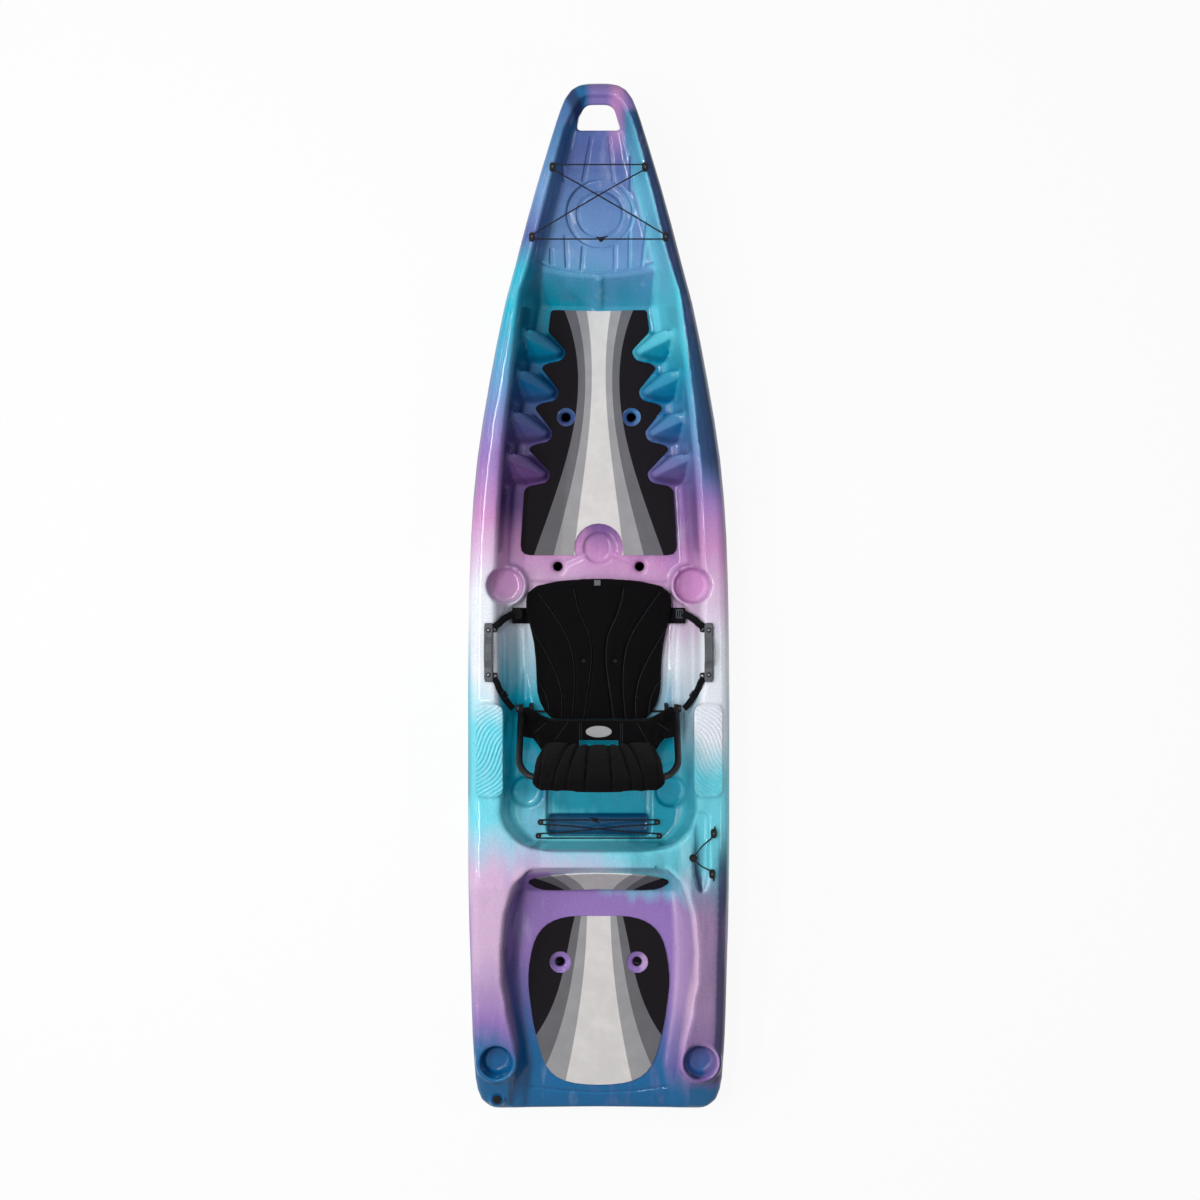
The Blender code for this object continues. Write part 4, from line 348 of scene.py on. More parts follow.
shell = Finish("rotomoulded_shell_swirl")
where, (x, y, z) = shell.place()
drift = shell.noise(where, 1.6, 3.0, 0.55) - 0.5
streak = shell.noise(where, 1.0, 4.0, 0.6, stretch=(16.0, 1.7, 9.0)) - 0.5
grain = shell.noise(where, 420.0, 2.0, 0.7) - 0.5
along = y + 0.19 * x + 0.26 * drift + 0.13 * streak + 0.035 * grain
share = (BOW - along) / LENGTH
rail_colour = shell.ramp(share, rail_bands)
well_colour = shell.ramp(share, well_bands)
rail_line = 0.190 + shell.between(y, -1.36, -0.98, 0.0, 0.070)
height = z + 0.03 * streak + 0.01 * grain
is_rail = shell.between(height - rail_line, -0.012, 0.022)
base = shell.mix(is_rail, well_colour, rail_colour)
normal = shell.node("NewGeometry", output="Normal")
faces_x = shell.node("SeparateXYZ", {0: normal})
to_starboard = shell.between(x, 0.06, 0.14)
forward = shell.between(y, 0.30, 0.48)
aft = shell.between(y, -0.98, -0.84, 1.0, 0.0)
# The top and the outer side of the starboard rail go blue forward and plum aft: partly the rail's own colour,
# partly painted shade.
starboard_top_shade = shell.between(faces_x, -0.30, -0.16) * to_starboard * is_rail
base = shell.mix(starboard_top_shade * forward * 0.70, base, POWDERS["blue"])
base = shell.mix(starboard_top_shade * aft * 0.50, base, POWDERS["plum"])
# Navy on the outer roll of the starboard rail, near the bow and behind the seat, is painted shade.
roll = shell.between(faces_x + 0.25 * streak + 0.14 * forward, -0.12, 0.20) * to_starboard * is_rail
behind_seat = shell.between(y, -0.88, -0.70, 1.0, 0.0)
base = shell.mix(roll * (0.86 * forward + 0.88 * behind_seat), base, POWDERS["navy_shade"])
# Starboard faces that look to port take the rail's colours, and aqua at the bow: painted light on the side
# the lamps reach.
wall = shell.between(faces_x + 0.25 * streak, -0.36, -0.10, 1.0, 0.0) * to_starboard
base = shell.mix(wall * 0.45, base, rail_colour)
bow_wall_light = wall * shell.between(y, 0.72, 0.88)
base = shell.mix(bow_wall_light * 0.60, base, POWDERS["aqua"])
violet = shell.between(shell.noise(where, 2.3, 4.0, 0.65, stretch=(3.0, 1.0, 2.0)), 0.56, 0.74)
base = shell.mix(violet * 0.30, base, POWDERS["violet"])
pale = shell.between(shell.noise(where, 3.1, 4.0, 0.6, stretch=(4.0, 1.0, 3.0)), 0.60, 0.78)
base = shell.mix(pale * 0.20, base, POWDERS["frost"])
tip = shell.between(y, 1.40, 1.58)
rosy = shell.between(x + 0.06 * drift, 0.012, 0.050) * shell.between(x, 0.062, 0.100, 1.0, 0.0)
middle = shell.between(x + 0.06 * drift, -0.060, -0.022) * shell.between(y, 1.575, 1.600)
base = shell.mix(middle * 0.75, base, POWDERS["violet"])
base = shell.mix(tip * rosy * 0.75, base, POWDERS["rose"])
# Navy on a diagonal by the port side of the bow tip is painted shade.
navy_shade = shell.between(abs(x + 0.072 + 0.5 * (y - 1.60)), 0.010, 0.034, 1.0, 0.0) * shell.between(y, 1.50, 1.58)
base = shell.mix(navy_shade * 0.75, base, POWDERS["navy_shade"])
# Deep blue on the floor of the pocket is painted shade in the recess.
pocket = (shell.between(abs(x), 0.158, 0.176, 1.0, 0.0) * shell.between(y, -0.782, -0.768)
          * shell.between(y, -0.706, -0.692, 1.0, 0.0) * shell.between(z, 0.100, 0.150, 1.0, 0.0))
base = shell.mix(pocket * 0.92, base, POWDERS["deep_blue_shade"])
# Navy on the port walls of the wells is painted shade, with less of it amidships.
amidships = shell.between(y, -0.86, -0.70) * shell.between(y, 0.10, 0.34, 1.0, 0.0)
port_wall_shade = shell.between(faces_x, 0.04, 0.62) * shell.between(x, -0.06, 0.0, 1.0, 0.0)
base = shell.mix(port_wall_shade * (0.55 - 0.47 * amidships), base, POWDERS["navy_shade"])
cup = ((abs(x) - CUP_PLACE[0]) ** 2.0 + (y - CUP_PLACE[1]) ** 2.0) ** 0.5
cup_floor = shell.between(cup, 0.040, 0.060, 1.0, 0.0) * shell.between(y, -0.1, -0.02)
base = shell.mix(cup_floor * 0.80, base, POWDERS["rose"])
# Near black in the scupper bores is painted shade, and the bores lose their gloss.
bore_shade = None
for hole_x, hole_y in SCUPPERS:
    reach = ((abs(x) - hole_x) ** 2.0 + (y - hole_y) ** 2.0) ** 0.5
    inside = shell.between(reach, 0.0145, 0.0175, 1.0, 0.0)
    bore_shade = inside if bore_shade is None else bore_shade + inside
base = shell.mix(bore_shade * 0.92, base, BORE_SHADE_COLOUR)
mottle = shell.between(shell.noise(where, 160.0, 3.0, 0.7), 0.2, 0.8, 0.90, 1.10)
tinted = shell.node("HueSaturation", {"Color": base, "Value": mottle})
peel = shell.noise(where, 190.0, 2.0, 0.5)
shell.use(Base_Color=tinted, Roughness=0.11 + 0.06 * shell.noise(where, 30.0, 3.0) + 0.6 * bore_shade,
          Normal=shell.bump(peel, 0.06, 0.0006), Specular_IOR_Level=0.09,
          Coat_Weight=0.32 - 0.32 * bore_shade, Coat_Roughness=0.035)
print("shell nodes", len(shell.tree.nodes))

# %% [markdown]
# The solid hull has the right form with hard edges. A rotomoulded skin has none: every edge is a radius.
# A voxel remesh turns the solid into an even net of small faces, a few rounds of smoothing roll the edges
# over, and the net is thinned under the boat, where the shell is plain.

# %% Nets and helpers
VOXEL = 0.0057
PLAIN_BELOW = 0.088
THINNED_TO = 0.60


def baked(thing):
    """A copy of a piece's mesh with its modifiers applied."""
    bpy.context.view_layer.update()
    graph = bpy.context.evaluated_depsgraph_get()
    return bpy.data.meshes.new_from_object(thing.evaluated_get(graph))


def added(name, mesh, finish=None, smooth=True):
    thing = bpy.data.objects.new(name, mesh)
    bpy.context.collection.objects.link(thing)
    if finish:
        mesh.materials.clear()
        mesh.materials.append(finish)
    if smooth:
        mesh.shade_smooth()
    return thing


def from_net(name, net, finish, smooth=True):
    """A piece made of a finished net."""
    mesh = bpy.data.meshes.new(name)
    net.to_mesh(mesh)
    net.free()
    return added(name, mesh, finish, smooth)


def bridged(net, rows, closed):
    """Faces between neighbouring rows of corners, and over both ends of a closed run."""
    for low, high in zip(rows, rows[1:]):
        count = len(low)
        for number in range(count if closed else count - 1):
            after = (number + 1) % count
            net.faces.new((low[number], low[after], high[after], high[number]))
    if closed:
        net.faces.new(rows[-1])
        net.faces.new(list(reversed(rows[0])))


def coated(thing, finish):
    """Gives a piece of the frame its own finish."""
    thing.data.materials.clear()
    thing.data.materials.append(finish)


def remeshed(node, voxel, rounds):
    """The mesh of a node as an even, softened net."""
    work = added("work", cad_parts[node].data.copy())
    net = work.modifiers.new("net", "REMESH")
    net.mode = "VOXEL"
    net.voxel_size = voxel
    soft = work.modifiers.new("soft", "SMOOTH")
    soft.factor = 0.5
    soft.iterations = rounds
    mesh = baked(work)
    bpy.data.objects.remove(work)
    return mesh


def corners(mesh):
    """The corners of a mesh as rows of X, Y and Z."""
    flat = np.empty(len(mesh.vertices) * 3)
    mesh.vertices.foreach_get("co", flat)
    return flat.reshape(-1, 3)


def set_corners(mesh, points):
    mesh.vertices.foreach_set("co", points.ravel())
    mesh.update()


def facing(mesh):
    """The way each corner faces."""
    flat = np.empty(len(mesh.vertices) * 3)
    mesh.vertices.foreach_get("normal", flat)
    return flat.reshape(-1, 3)


def step(value, low, high):
    """0 below low, 1 above high, and a smooth step between them."""
    share = np.clip((value - low) / (high - low), 0.0, 1.0)
    return share * share * (3.0 - 2.0 * share)


def thinned(mesh, chosen, ratio):
    """Collapses the chosen corners' faces, at most until the mesh has ratio of its faces left."""
    work = added("work", mesh)
    group = work.vertex_groups.new(name="plain")
    group.add([int(i) for i in np.nonzero(chosen)[0]], 1.0, "REPLACE")
    fewer = work.modifiers.new("fewer", "DECIMATE")
    fewer.vertex_group = "plain"
    fewer.ratio = ratio
    result = baked(work)
    bpy.data.objects.remove(work)
    return result


shell_mesh = remeshed("hull", VOXEL, 4)
print("shell net", len(shell_mesh.polygons), "faces")
low_down = corners(shell_mesh)[:, 2] < PLAIN_BELOW
shell_mesh = thinned(shell_mesh, low_down, THINNED_TO)
places = corners(shell_mesh)
places[:, 2] = np.maximum(places[:, 2], 0.0)
set_corners(shell_mesh, places)
print("thinned to", len(shell_mesh.polygons), "faces,", int(low_down.sum()), "corners were under the boat")

# %% [markdown]
# The mould has fine lines that a coarse net can't hold: grooves and two rings in the floor of the tank
# well, and waves on the two hand pads. The net is split once where they run, and then the corners
# themselves are moved, so the lines are real shape and not only a shaded trick. Soft hollows in the sides
# of the seat well are wide enough for the net as it is.

# %% Lines cut into the mould
def away_from(points, line):
    """Distance in plan from each point to a line through a few places."""
    best = np.full(len(points), 9.0)
    for (ax, ay), (bx, by) in zip(line, line[1:]):
        along = np.array((bx - ax, by - ay))
        rest = points[:, :2] - (ax, ay)
        share = np.clip(rest @ along / (along @ along), 0.0, 1.0)
        best = np.minimum(best, np.hypot(*(rest - share[:, None] * along).T))
    return best


def on_floor(places, level):
    """Places in plan that show at columns and rows of the frame, on a level surface."""
    return [tuple(seen_at(column, row, level))[:2] for column, row in places]


TANK_LEVEL = 0.225
TANK_LINES = [on_floor(line, TANK_LEVEL) for line in (
    ((551, 250), (551, 265)), ((563.5, 168), (564, 182)), ((565, 236), (566.5, 268)),
    ((591, 139), (583, 181)), ((583, 247), (581, 271)), ((609, 139), (613, 181)),
    ((614.5, 243), (614.5, 271)), ((631, 158), (630.5, 190)), ((629.5, 232), (629, 269)),
    ((648, 213), (645, 240), (642, 267)),
    ((538, 262), (555, 267.5), (577, 271.2), (599, 272.4), (622, 271.2), (643, 267.2), (661, 261)))]
RING_CENTRE = seen_at(600, 214, TANK_LEVEL)
RING_RADII = (0.1065, 0.0745)
STERN_LINES = [on_floor(((533, 1087), (566, 1091.5), (600, 1093), (634, 1091.5), (667, 1087)), 0.15)]


def hand_pad_wave(points):
    """Height of the waves on the hand pads, mirrored about the middle of the boat."""
    inboard = 0.3555 - np.abs(points[:, 0])
    forward = points[:, 1] + 0.483
    lean = math.radians(51)
    across = inboard * math.cos(lean) + forward * math.sin(lean)
    down = forward * math.cos(lean) - inboard * math.sin(lean)
    turn = (down - 0.0127 * np.sin(2 * math.pi * across / 0.2)) / 0.0127
    wave = np.abs(np.mod(turn, 1.0) - 0.5) * 2.0
    inside = step(0.0445 - np.abs(inboard), 0.0, 0.006) * step(0.146 - np.abs(forward), 0.0, 0.008)
    return inside, wave


def fine_work(points):
    """How far each corner goes down into the mould's fine lines."""
    flat = (points[:, 2] < 0.285) & (points[:, 1] > 0.9)
    lines = np.min([away_from(points, line) for line in TANK_LINES], axis=0)
    ring = np.hypot(points[:, 0] - RING_CENTRE.x, points[:, 1] - RING_CENTRE.y)
    for radius in RING_RADII:
        lines = np.minimum(lines, np.abs(ring - radius))
    depth = np.where(flat, 0.0062 * np.exp(-(lines / 0.0036) ** 2), 0.0)
    stern = np.min([away_from(points, line) for line in STERN_LINES], axis=0)
    depth += np.where(points[:, 1] < -1.5, 0.0038 * np.exp(-(stern / 0.004) ** 2), 0.0)
    inside, wave = hand_pad_wave(points)
    high = (points[:, 2] > 0.27) & (inside > 0)
    depth += np.where(high, inside * (0.0070 * (1 - wave) - 0.0016), 0.0)
    return depth


def side_valleys(points):
    """Tall soft hollows in the sides of the seat well, wider towards the stern."""
    x = np.abs(points[:, 0])
    y = points[:, 1]
    run = np.clip((-0.205 - y) / 0.17, 0.0, 1.0)
    inner = 0.011 * np.exp(-((x - 0.2440) / (0.0025 + 0.0105 * run)) ** 2) * step(-y, 0.205, 0.30)
    inner = inner * step(y, -0.420, -0.375)
    outer = 0.009 * np.exp(-((x - 0.3140) / 0.0075) ** 2) * step(y, -0.345, -0.30) * step(-y, 0.06, 0.11)
    return np.where(points[:, 2] < 0.275, inner + outer, 0.0)


net = bmesh.new()
net.from_mesh(shell_mesh)
net.verts.ensure_lookup_table()
places = np.array([v.co for v in net.verts])
busy = np.abs(fine_work(places)) > 0.00018
near = {v for v in net.verts if busy[v.index]}
edges = {e for v in near for f in v.link_faces for e in f.edges}
bmesh.ops.subdivide_edges(net, edges=list(edges), cuts=1, use_grid_fill=True)
net.to_mesh(shell_mesh)
net.free()
places = corners(shell_mesh)
upward = facing(shell_mesh)[:, 2]
places[:, 2] -= np.where(upward > 0.3, fine_work(places), 0.0)
places[:, 2] -= np.where(upward > 0.1, side_valleys(places), 0.0)
set_corners(shell_mesh, places)
print("shell net with fine lines", len(shell_mesh.polygons), "faces")

# %% [markdown]
# The finished net takes the solid hull's place. On the real boat the shell is one moulding and carries
# all the rest, so it rides on the boat's own body.

# %% Shell skin
hull_skin = added("hull_skin", shell_mesh, shell.material)
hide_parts("hull")
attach(hull_skin, "boat")

# %% [markdown]
# The scupper holes go right through the boat. A white studio floor would shine up through them, so a small
# black card lies under each hole as painted shade, and the holes look black.

# %% Black cards of painted shade under the scupper holes
card = Finish("painted_shade_card")
shade = card.mix(card.noise(card.place()[0], 40.0), colour(3, 3, 4), colour(6, 6, 8))
card.use(Base_Color=shade, Roughness=1.0, Specular_IOR_Level=0.0)
for hole_x, hole_y in SCUPPERS:
    for side in (-1, 1):
        net = bmesh.new()
        bmesh.ops.create_circle(net, cap_ends=True, segments=24, radius=0.05)
        disc = from_net(f"card_{side}_{hole_y}", net, card.material)
        disc.location = (side * hole_x, hole_y, 0.0008)
print("cards under holes", 2 * len(SCUPPERS))

# %% [markdown]
# The deck pads are foam sheets cut on a router, in four shades from pale grey to black that run like the
# wake of the boat. The edges of the stripes are curves, so each is a polynomial in Y that gives the
# stripe's half width there: a cubic on the long pads, and a parabola on the short one.

# %% Deck foam
DECK_PIXEL = 0.0032585
FOAM_DISTANCE = 8.14
FOAM_PIXEL = DECK_PIXEL * FOAM_DISTANCE / VIEW_DISTANCE


def stripe_curve(rows):
    """Curve through rows of (photo row, half width in pixels), as numbers from the highest power."""
    ys = [(600 - row) * FOAM_PIXEL + CAMERA_Y for row, half in rows]
    halves = [half * FOAM_PIXEL for row, half in rows]
    return [float(c) for c in np.polyfit(ys, halves, min(3, len(rows) - 1))]


def poly(value, numbers):
    total = numbers[0]
    for number in numbers[1:]:
        total = total * value + number
    return total


FRONT_STRIPES = (((310, 12.2), (391, 7.2), (474, 14.8), (553, 24.5)),
                 ((310, 23.0), (391, 13.6), (474, 25.0), (553, 44.5)),
                 ((310, 34.5), (391, 20.8), (474, 36.8), (553, 64.0)))
REAR_STRIPES = (((917, 11.7), (975, 15.5), (1034, 24.0), (1080, 33.4)),
                ((917, 18.0), (975, 26.5), (1034, 41.0), (1064, 53.0)),
                ((917, 24.4), (975, 36.8), (1010, 49.0), (1034, 63.2)))
MID_STRIPES = (((874, 26.0), (883, 17.0), (894, 13.0)), ((874, 42.0), (883, 31.0), (894, 22.0)),
               ((874, 62.0), (883, 42.0), (894, 29.0)))
LIGHT_GREY = colour(220, 216, 213)
MID_GREY = colour(160, 158, 160)
DARK_GREY = colour(108, 107, 111)
BLACK_FOAM = colour(25, 22, 26)


def foam_finish(name, stripes):
    foam = Finish(name)
    where, (x, y, z) = foam.place()
    off = abs(x)
    paint = LIGHT_GREY
    for rows, next_paint in zip(stripes, (MID_GREY, DARK_GREY, BLACK_FOAM)):
        edge = poly(y, stripe_curve(rows))
        paint = foam.mix(foam.between(off - edge, -0.0006, 0.0006), paint, next_paint)
    cells = foam.noise(where, 900.0, 2.0, 0.6)
    scuffs = foam.between(foam.noise(where, 14.0, 5.0, 0.65), 0.35, 0.75, 0.93, 1.05)
    paint = foam.node("HueSaturation", {"Color": paint, "Value": scuffs})
    foam.use(Base_Color=paint, Roughness=0.72 + 0.12 * foam.noise(where, 60.0),
             Normal=foam.bump(cells, 0.25, 0.0004), Specular_IOR_Level=0.08)
    return foam.material


for node, stripes in (("front_deck_pad", FRONT_STRIPES), ("rear_deck_pad", REAR_STRIPES)):
    coated(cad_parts[node], foam_finish(node + "_foam", stripes))
print("foam finishes", 2)

# %% [markdown]
# Every other piece gets its own finish: braided cord, ribbed webbing, moulded nylon, powder coated tube
# and dull steel. Plastics differ mostly in gloss and in the scale of their grain, so one function makes
# all the moulded ones.

# %% Finishes of the small pieces
def moulded(name, tint, rough=0.45, grain=700.0, depth=0.18, shine=0.16):
    plastic = Finish(name)
    where = plastic.place()[0]
    scuff = plastic.between(plastic.noise(where, 38.0, 5.0, 0.65), 0.35, 0.75, 0.82, 1.22)
    shade = plastic.node("HueSaturation", {"Color": tint, "Value": scuff})
    plastic.use(Base_Color=shade, Roughness=rough + 0.12 * plastic.noise(where, 90.0, 3.0),
                Normal=plastic.bump(plastic.noise(where, grain, 2.0, 0.6), depth, 0.0003),
                Specular_IOR_Level=shine)
    return plastic.material


def webbing_finish():
    """Flat woven strap: ribs along it and a fine zigzag across."""
    web = Finish("black_webbing")
    where, (x, y, z) = web.place()
    rib = web.maths("SINE", (x + y) * 2600.0)
    cross = web.maths("SINE", (y - x) * 5200.0 + 1.4 * rib)
    fuzz = web.noise(where, 1300.0, 2.0, 0.7)
    lit = web.between(0.5 * rib + 0.5 * cross + fuzz, -0.4, 1.6)
    shade = web.mix(lit, colour(6, 6, 7), colour(22, 21, 24))
    web.use(Base_Color=shade, Roughness=0.82, Specular_IOR_Level=0.08,
            Normal=web.bump(0.6 * rib + 0.4 * cross, 0.35, 0.0004))
    return web.material


def cord_finish():
    """Braided cover of a bungee: two crossing sets of strands with a few pale tracer threads."""
    braid = Finish("braided_bungee")
    where, (x, y, z) = braid.place()
    one = braid.maths("SINE", (x + y + 2.0 * z) * 1900.0)
    two = braid.maths("SINE", (x - y + 2.0 * z) * 1900.0)
    weave = one * two
    tracer = braid.between(braid.maths("SINE", (x + 0.7 * y) * 520.0), 0.90, 0.98)
    shade = braid.mix(braid.between(weave, -0.8, 0.9), colour(9, 10, 16), colour(34, 36, 44))
    shade = braid.mix(tracer * 0.25, shade, colour(120, 126, 140))
    braid.use(Base_Color=shade, Roughness=0.7, Specular_IOR_Level=0.2, Normal=braid.bump(weave, 0.5, 0.0006))
    return braid.material


def tube_finish():
    paint = Finish("powder_coated_tube")
    where = paint.place()[0]
    worn = paint.between(paint.noise(where, 22.0, 6.0, 0.7), 0.60, 0.72)
    shade = paint.mix(worn, colour(8, 8, 9), colour(22, 22, 24))
    paint.use(Base_Color=shade, Roughness=0.38 + 0.18 * worn, Specular_IOR_Level=0.22,
              Normal=paint.bump(paint.noise(where, 900.0, 2.0, 0.5), 0.15, 0.0002))
    return paint.material


def steel_finish(name, tint, rough):
    steel = Finish(name)
    turned_lines = steel.noise(steel.place()[0], 500.0, 3.0, 0.7, stretch=(1.0, 6.0, 1.0))
    shade = steel.mix(turned_lines, tint, colour(70, 70, 74))
    steel.use(Base_Color=shade, Metallic=1.0, Roughness=rough + 0.15 * turned_lines,
              Normal=steel.bump(turned_lines, 0.1, 0.0002))
    return steel.material


HANDLE_SCREW_X = 0.357
HANDLE_SCREW_ROWS = (0.092, 0.237)


def screw_finish():
    """A steel screw head in a black washer: the shade goes by the distance from the screw's axis, and the
    dark spot at the axis is painted shade in the drive recess.
    """
    screw = Finish("screw_in_washer")
    where, (x, y, z) = screw.place()
    reach = screw.maths("MINIMUM", *[((abs(x) - HANDLE_SCREW_X) ** 2.0 + (y + behind) ** 2.0) ** 0.5
                                     for behind in HANDLE_SCREW_ROWS])
    washer = screw.between(reach, 0.0030, 0.0036)
    # The dark spot at the axis is painted shade in the screw's drive recess.
    cross = screw.between(reach, 0.0008, 0.0014, 1.0, 0.0)
    shade = screw.mix(washer, colour(104, 106, 112), colour(12, 12, 14))
    shade = screw.mix(cross * 0.9, shade, colour(10, 10, 12))
    screw.use(Base_Color=shade, Metallic=1.0 - washer, Roughness=0.36 + 0.1 * screw.noise(where, 700.0))
    return screw.material


black_nylon = moulded("black_nylon", colour(10, 10, 12))
grey_nylon = moulded("grey_nylon_grip", colour(94, 96, 101), 0.42, 520.0, 0.25)
buckle_grey = moulded("grey_acetal_buckle", colour(74, 76, 84), 0.34)
pan_plastic = moulded("seat_pan_plastic", colour(7, 7, 8), 0.6)
flange_blue = moulded("blue_plug_collar", colour(6, 70, 122), 0.4)
webbing = webbing_finish()
bungee = cord_finish()
tube_paint = tube_finish()
dark_steel = steel_finish("blackened_steel", colour(28, 28, 31), 0.4)
screw_steel = screw_finish()
FINISHES = {
    "bow_anchor": black_nylon, "pocket_anchor": black_nylon, "paddle_anchor": black_nylon,
    "paddle_park_button": black_nylon, "paddle_park_bungee": bungee, "bow_bungee": bungee,
    "pocket_bungee": bungee, "carry_handle": grey_nylon, "handle_screw": screw_steel,
    "strap_plate": black_nylon, "strap_clip": black_nylon, "strap_buckle_port": black_nylon,
    "strap_buckle_starboard": buckle_grey, "seat_strap": webbing, "seat_tab": webbing,
    "seat_pan": pan_plastic, "back_frame": tube_paint, "hinge_bracket": black_nylon, "hinge_pin": dark_steel,
    "drain_plug_flange": flange_blue, "drain_plug": black_nylon}
dressed = 0
for name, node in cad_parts.items():
    for start, finish in FINISHES.items():
        if name.startswith(start):
            coated(node, finish)
            dressed += 1
            break
print("frame pieces with their own finish", dressed)

# %% [markdown]
# The seat is foam in black polyester with a plain weave. The weave is a fine check of two sine waves
# about a millimetre apart, with a little fluff and dust over it. Sheen gives the grey bloom of cloth at
# its edges.

# %% Seat fabric
def fabric_finish(name, tint, light):
    cloth = Finish(name)
    where, (x, y, z) = cloth.place()
    warp = cloth.maths("SINE", (x + 0.3 * z) * 5200.0)
    weft = cloth.maths("SINE", (y + 0.8 * z) * 5200.0)
    weave = warp * weft
    worn = cloth.noise(where, 26.0, 5.0, 0.62)
    shade = cloth.mix(cloth.between(weave + 1.2 * worn, -0.6, 1.7), tint, light)
    cloth.use(Base_Color=shade, Roughness=0.88, Specular_IOR_Level=0.06, Sheen_Weight=0.02,
              Sheen_Roughness=0.5, Normal=cloth.bump(weave + 0.6 * cloth.noise(where, 900.0), 0.35, 0.0004))
    return cloth.material


seat_cloth = fabric_finish("black_polyester_weave", colour(5, 4, 5), colour(14, 12, 14))
thread = moulded("grey_thread", colour(70, 70, 74), 0.7, 1500.0)
print("seat fabric ready")

# %% [markdown]
# Padded fabric swells between its seams. Blender's Cloth does that by itself: the cushion's mesh is cloth
# with air pressure inside, its seams and its underside are held, and after twenty frames what lies
# between them has risen into soft rolls. The result is copied off as plain mesh and each corner's move is
# capped.

# %% Cloth that swells between its seams
def along_curve(places, steps=14):
    """A smooth line through a few places, as many short straight steps."""
    places = [np.array(p, float) for p in places]
    ends = [2 * places[0] - places[1]] + places + [2 * places[-1] - places[-2]]
    line = []
    for a, b, c, d in zip(ends, ends[1:], ends[2:], ends[3:]):
        for t in np.arange(steps) / steps:
            line.append(0.5 * (2 * b + (c - a) * t + (2 * a - 5 * b + 4 * c - d) * t ** 2
                               + (3 * b - a - 3 * c + d) * t ** 3))
    line.append(places[-1])
    return [tuple(p) for p in line]


def swollen(mesh, held, pressure, cap, frames=20):
    """Blows a cloth mesh up where it isn't held: its corners after that, none moved beyond the cap."""
    work = added("cloth_work", mesh.copy())
    group = work.vertex_groups.new(name="held")
    for level in (1.0, 0.6, 0.3):
        chosen = [int(i) for i in np.nonzero((held > level - 0.15) & (held <= level + 0.15))[0]]
        group.add(chosen, level, "REPLACE")
    cloth = work.modifiers.new("cloth", "CLOTH")
    cloth.settings.quality = 4
    cloth.settings.mass = 0.25
    cloth.settings.vertex_group_mass = "held"
    cloth.settings.tension_stiffness = 12.0
    cloth.settings.compression_stiffness = 12.0
    cloth.settings.bending_stiffness = 6.0
    cloth.settings.use_pressure = True
    cloth.settings.uniform_pressure_force = pressure
    cloth.settings.effector_weights.gravity = 0.0
    cloth.collision_settings.use_collision = False
    cloth.collision_settings.use_self_collision = False
    cloth.point_cache.frame_start = 1
    cloth.point_cache.frame_end = frames
    for number in range(1, frames + 1):
        bpy.context.scene.frame_set(number)
    after = corners(baked(work))
    bpy.data.objects.remove(work)
    bpy.context.scene.frame_set(1)
    before = corners(mesh)
    move = after - before
    edges = np.array([e.vertices[:] for e in mesh.edges])
    count = np.bincount(edges.ravel(), minlength=len(move))[:, None]
    for smoothing in range(5):
        around = np.zeros_like(move)
        np.add.at(around, edges[:, 0], move[edges[:, 1]])
        np.add.at(around, edges[:, 1], move[edges[:, 0]])
        move = 0.4 * move + 0.6 * around / np.maximum(count, 1)
    far = np.linalg.norm(move, axis=1)
    most, mean = float(far.max()) * 1000, float(far.mean()) * 1000
    print("cloth moved up to", round(most, 1), "mm, mean", round(mean, 2))
    return before + move * (cap * np.tanh(far / cap) / np.maximum(far, 1e-9))[:, None]


def finer(mesh):
    """The mesh with each face in four, rounded as it is split."""
    work = added("work", mesh)
    more = work.modifiers.new("more", "SUBSURF")
    more.levels = 1
    result = baked(work)
    bpy.data.objects.remove(work)
    return result


def line_run(name, runs, radius, finish, closed=False):
    """Round cord along each run of points, as plain mesh."""
    curve = bpy.data.curves.new(name, "CURVE")
    curve.dimensions = "3D"
    curve.bevel_depth = radius
    curve.bevel_resolution = 2
    curve.use_fill_caps = True
    for run in runs:
        spline = curve.splines.new("POLY")
        spline.points.add(len(run) - 1)
        spline.use_cyclic_u = closed
        for point, place in zip(spline.points, run):
            point.co = (*place, 1.0)
    work = bpy.data.objects.new(name, curve)
    bpy.context.collection.objects.link(work)
    mesh = baked(work)
    bpy.data.objects.remove(work)
    return added(name, mesh, finish)


def laid_on(surface, line, start, aim, lift=0.0006):
    """Drops a line of places on a surface: start gives the ray's beginning, aim its way."""
    tree = BVHTree.FromObject(surface, bpy.context.evaluated_depsgraph_get())
    found = []
    for place in line:
        hit, normal, index, distance = tree.ray_cast(start(place), aim)
        if hit is not None:
            found.append(hit + normal * lift)
    return found


def stitched(run, length=0.0042, gap=0.0018):
    """Cuts a run of points into stitches."""
    lengths = [0.0]
    for a, b in zip(run, run[1:]):
        lengths.append(lengths[-1] + (b - a).length)
    stitches = []
    place = 0.002
    axes = np.array(run)
    while place + length < lengths[-1]:
        marks = (place, place + length / 2, place + length)
        stitches.append([tuple(np.interp(m, lengths, axes[:, i]) for i in range(3)) for m in marks])
        place += length + gap
    return stitches


print("cloth helpers ready")

# %% [markdown]
# The cushion has four seams each side that run in long curves from the rolled front edge to the back,
# like the pleats of a car seat. Each is a smooth line through a few places, mirrored, with the piece's
# own height.

# %% Seat cushion
SEAT_LEVEL = 0.182
PAN_TOP = 0.1335


def seat_places(rows):
    """Places on the cushion from (half width in pixels, row), for one side."""
    reach = VIEW_WIDTH / 1200 * (DECK_LEVEL + VIEW_DISTANCE - SEAT_LEVEL) / VIEW_DISTANCE
    return [(half * reach, (600 - row) * reach + CAMERA_Y) for half, row in rows]


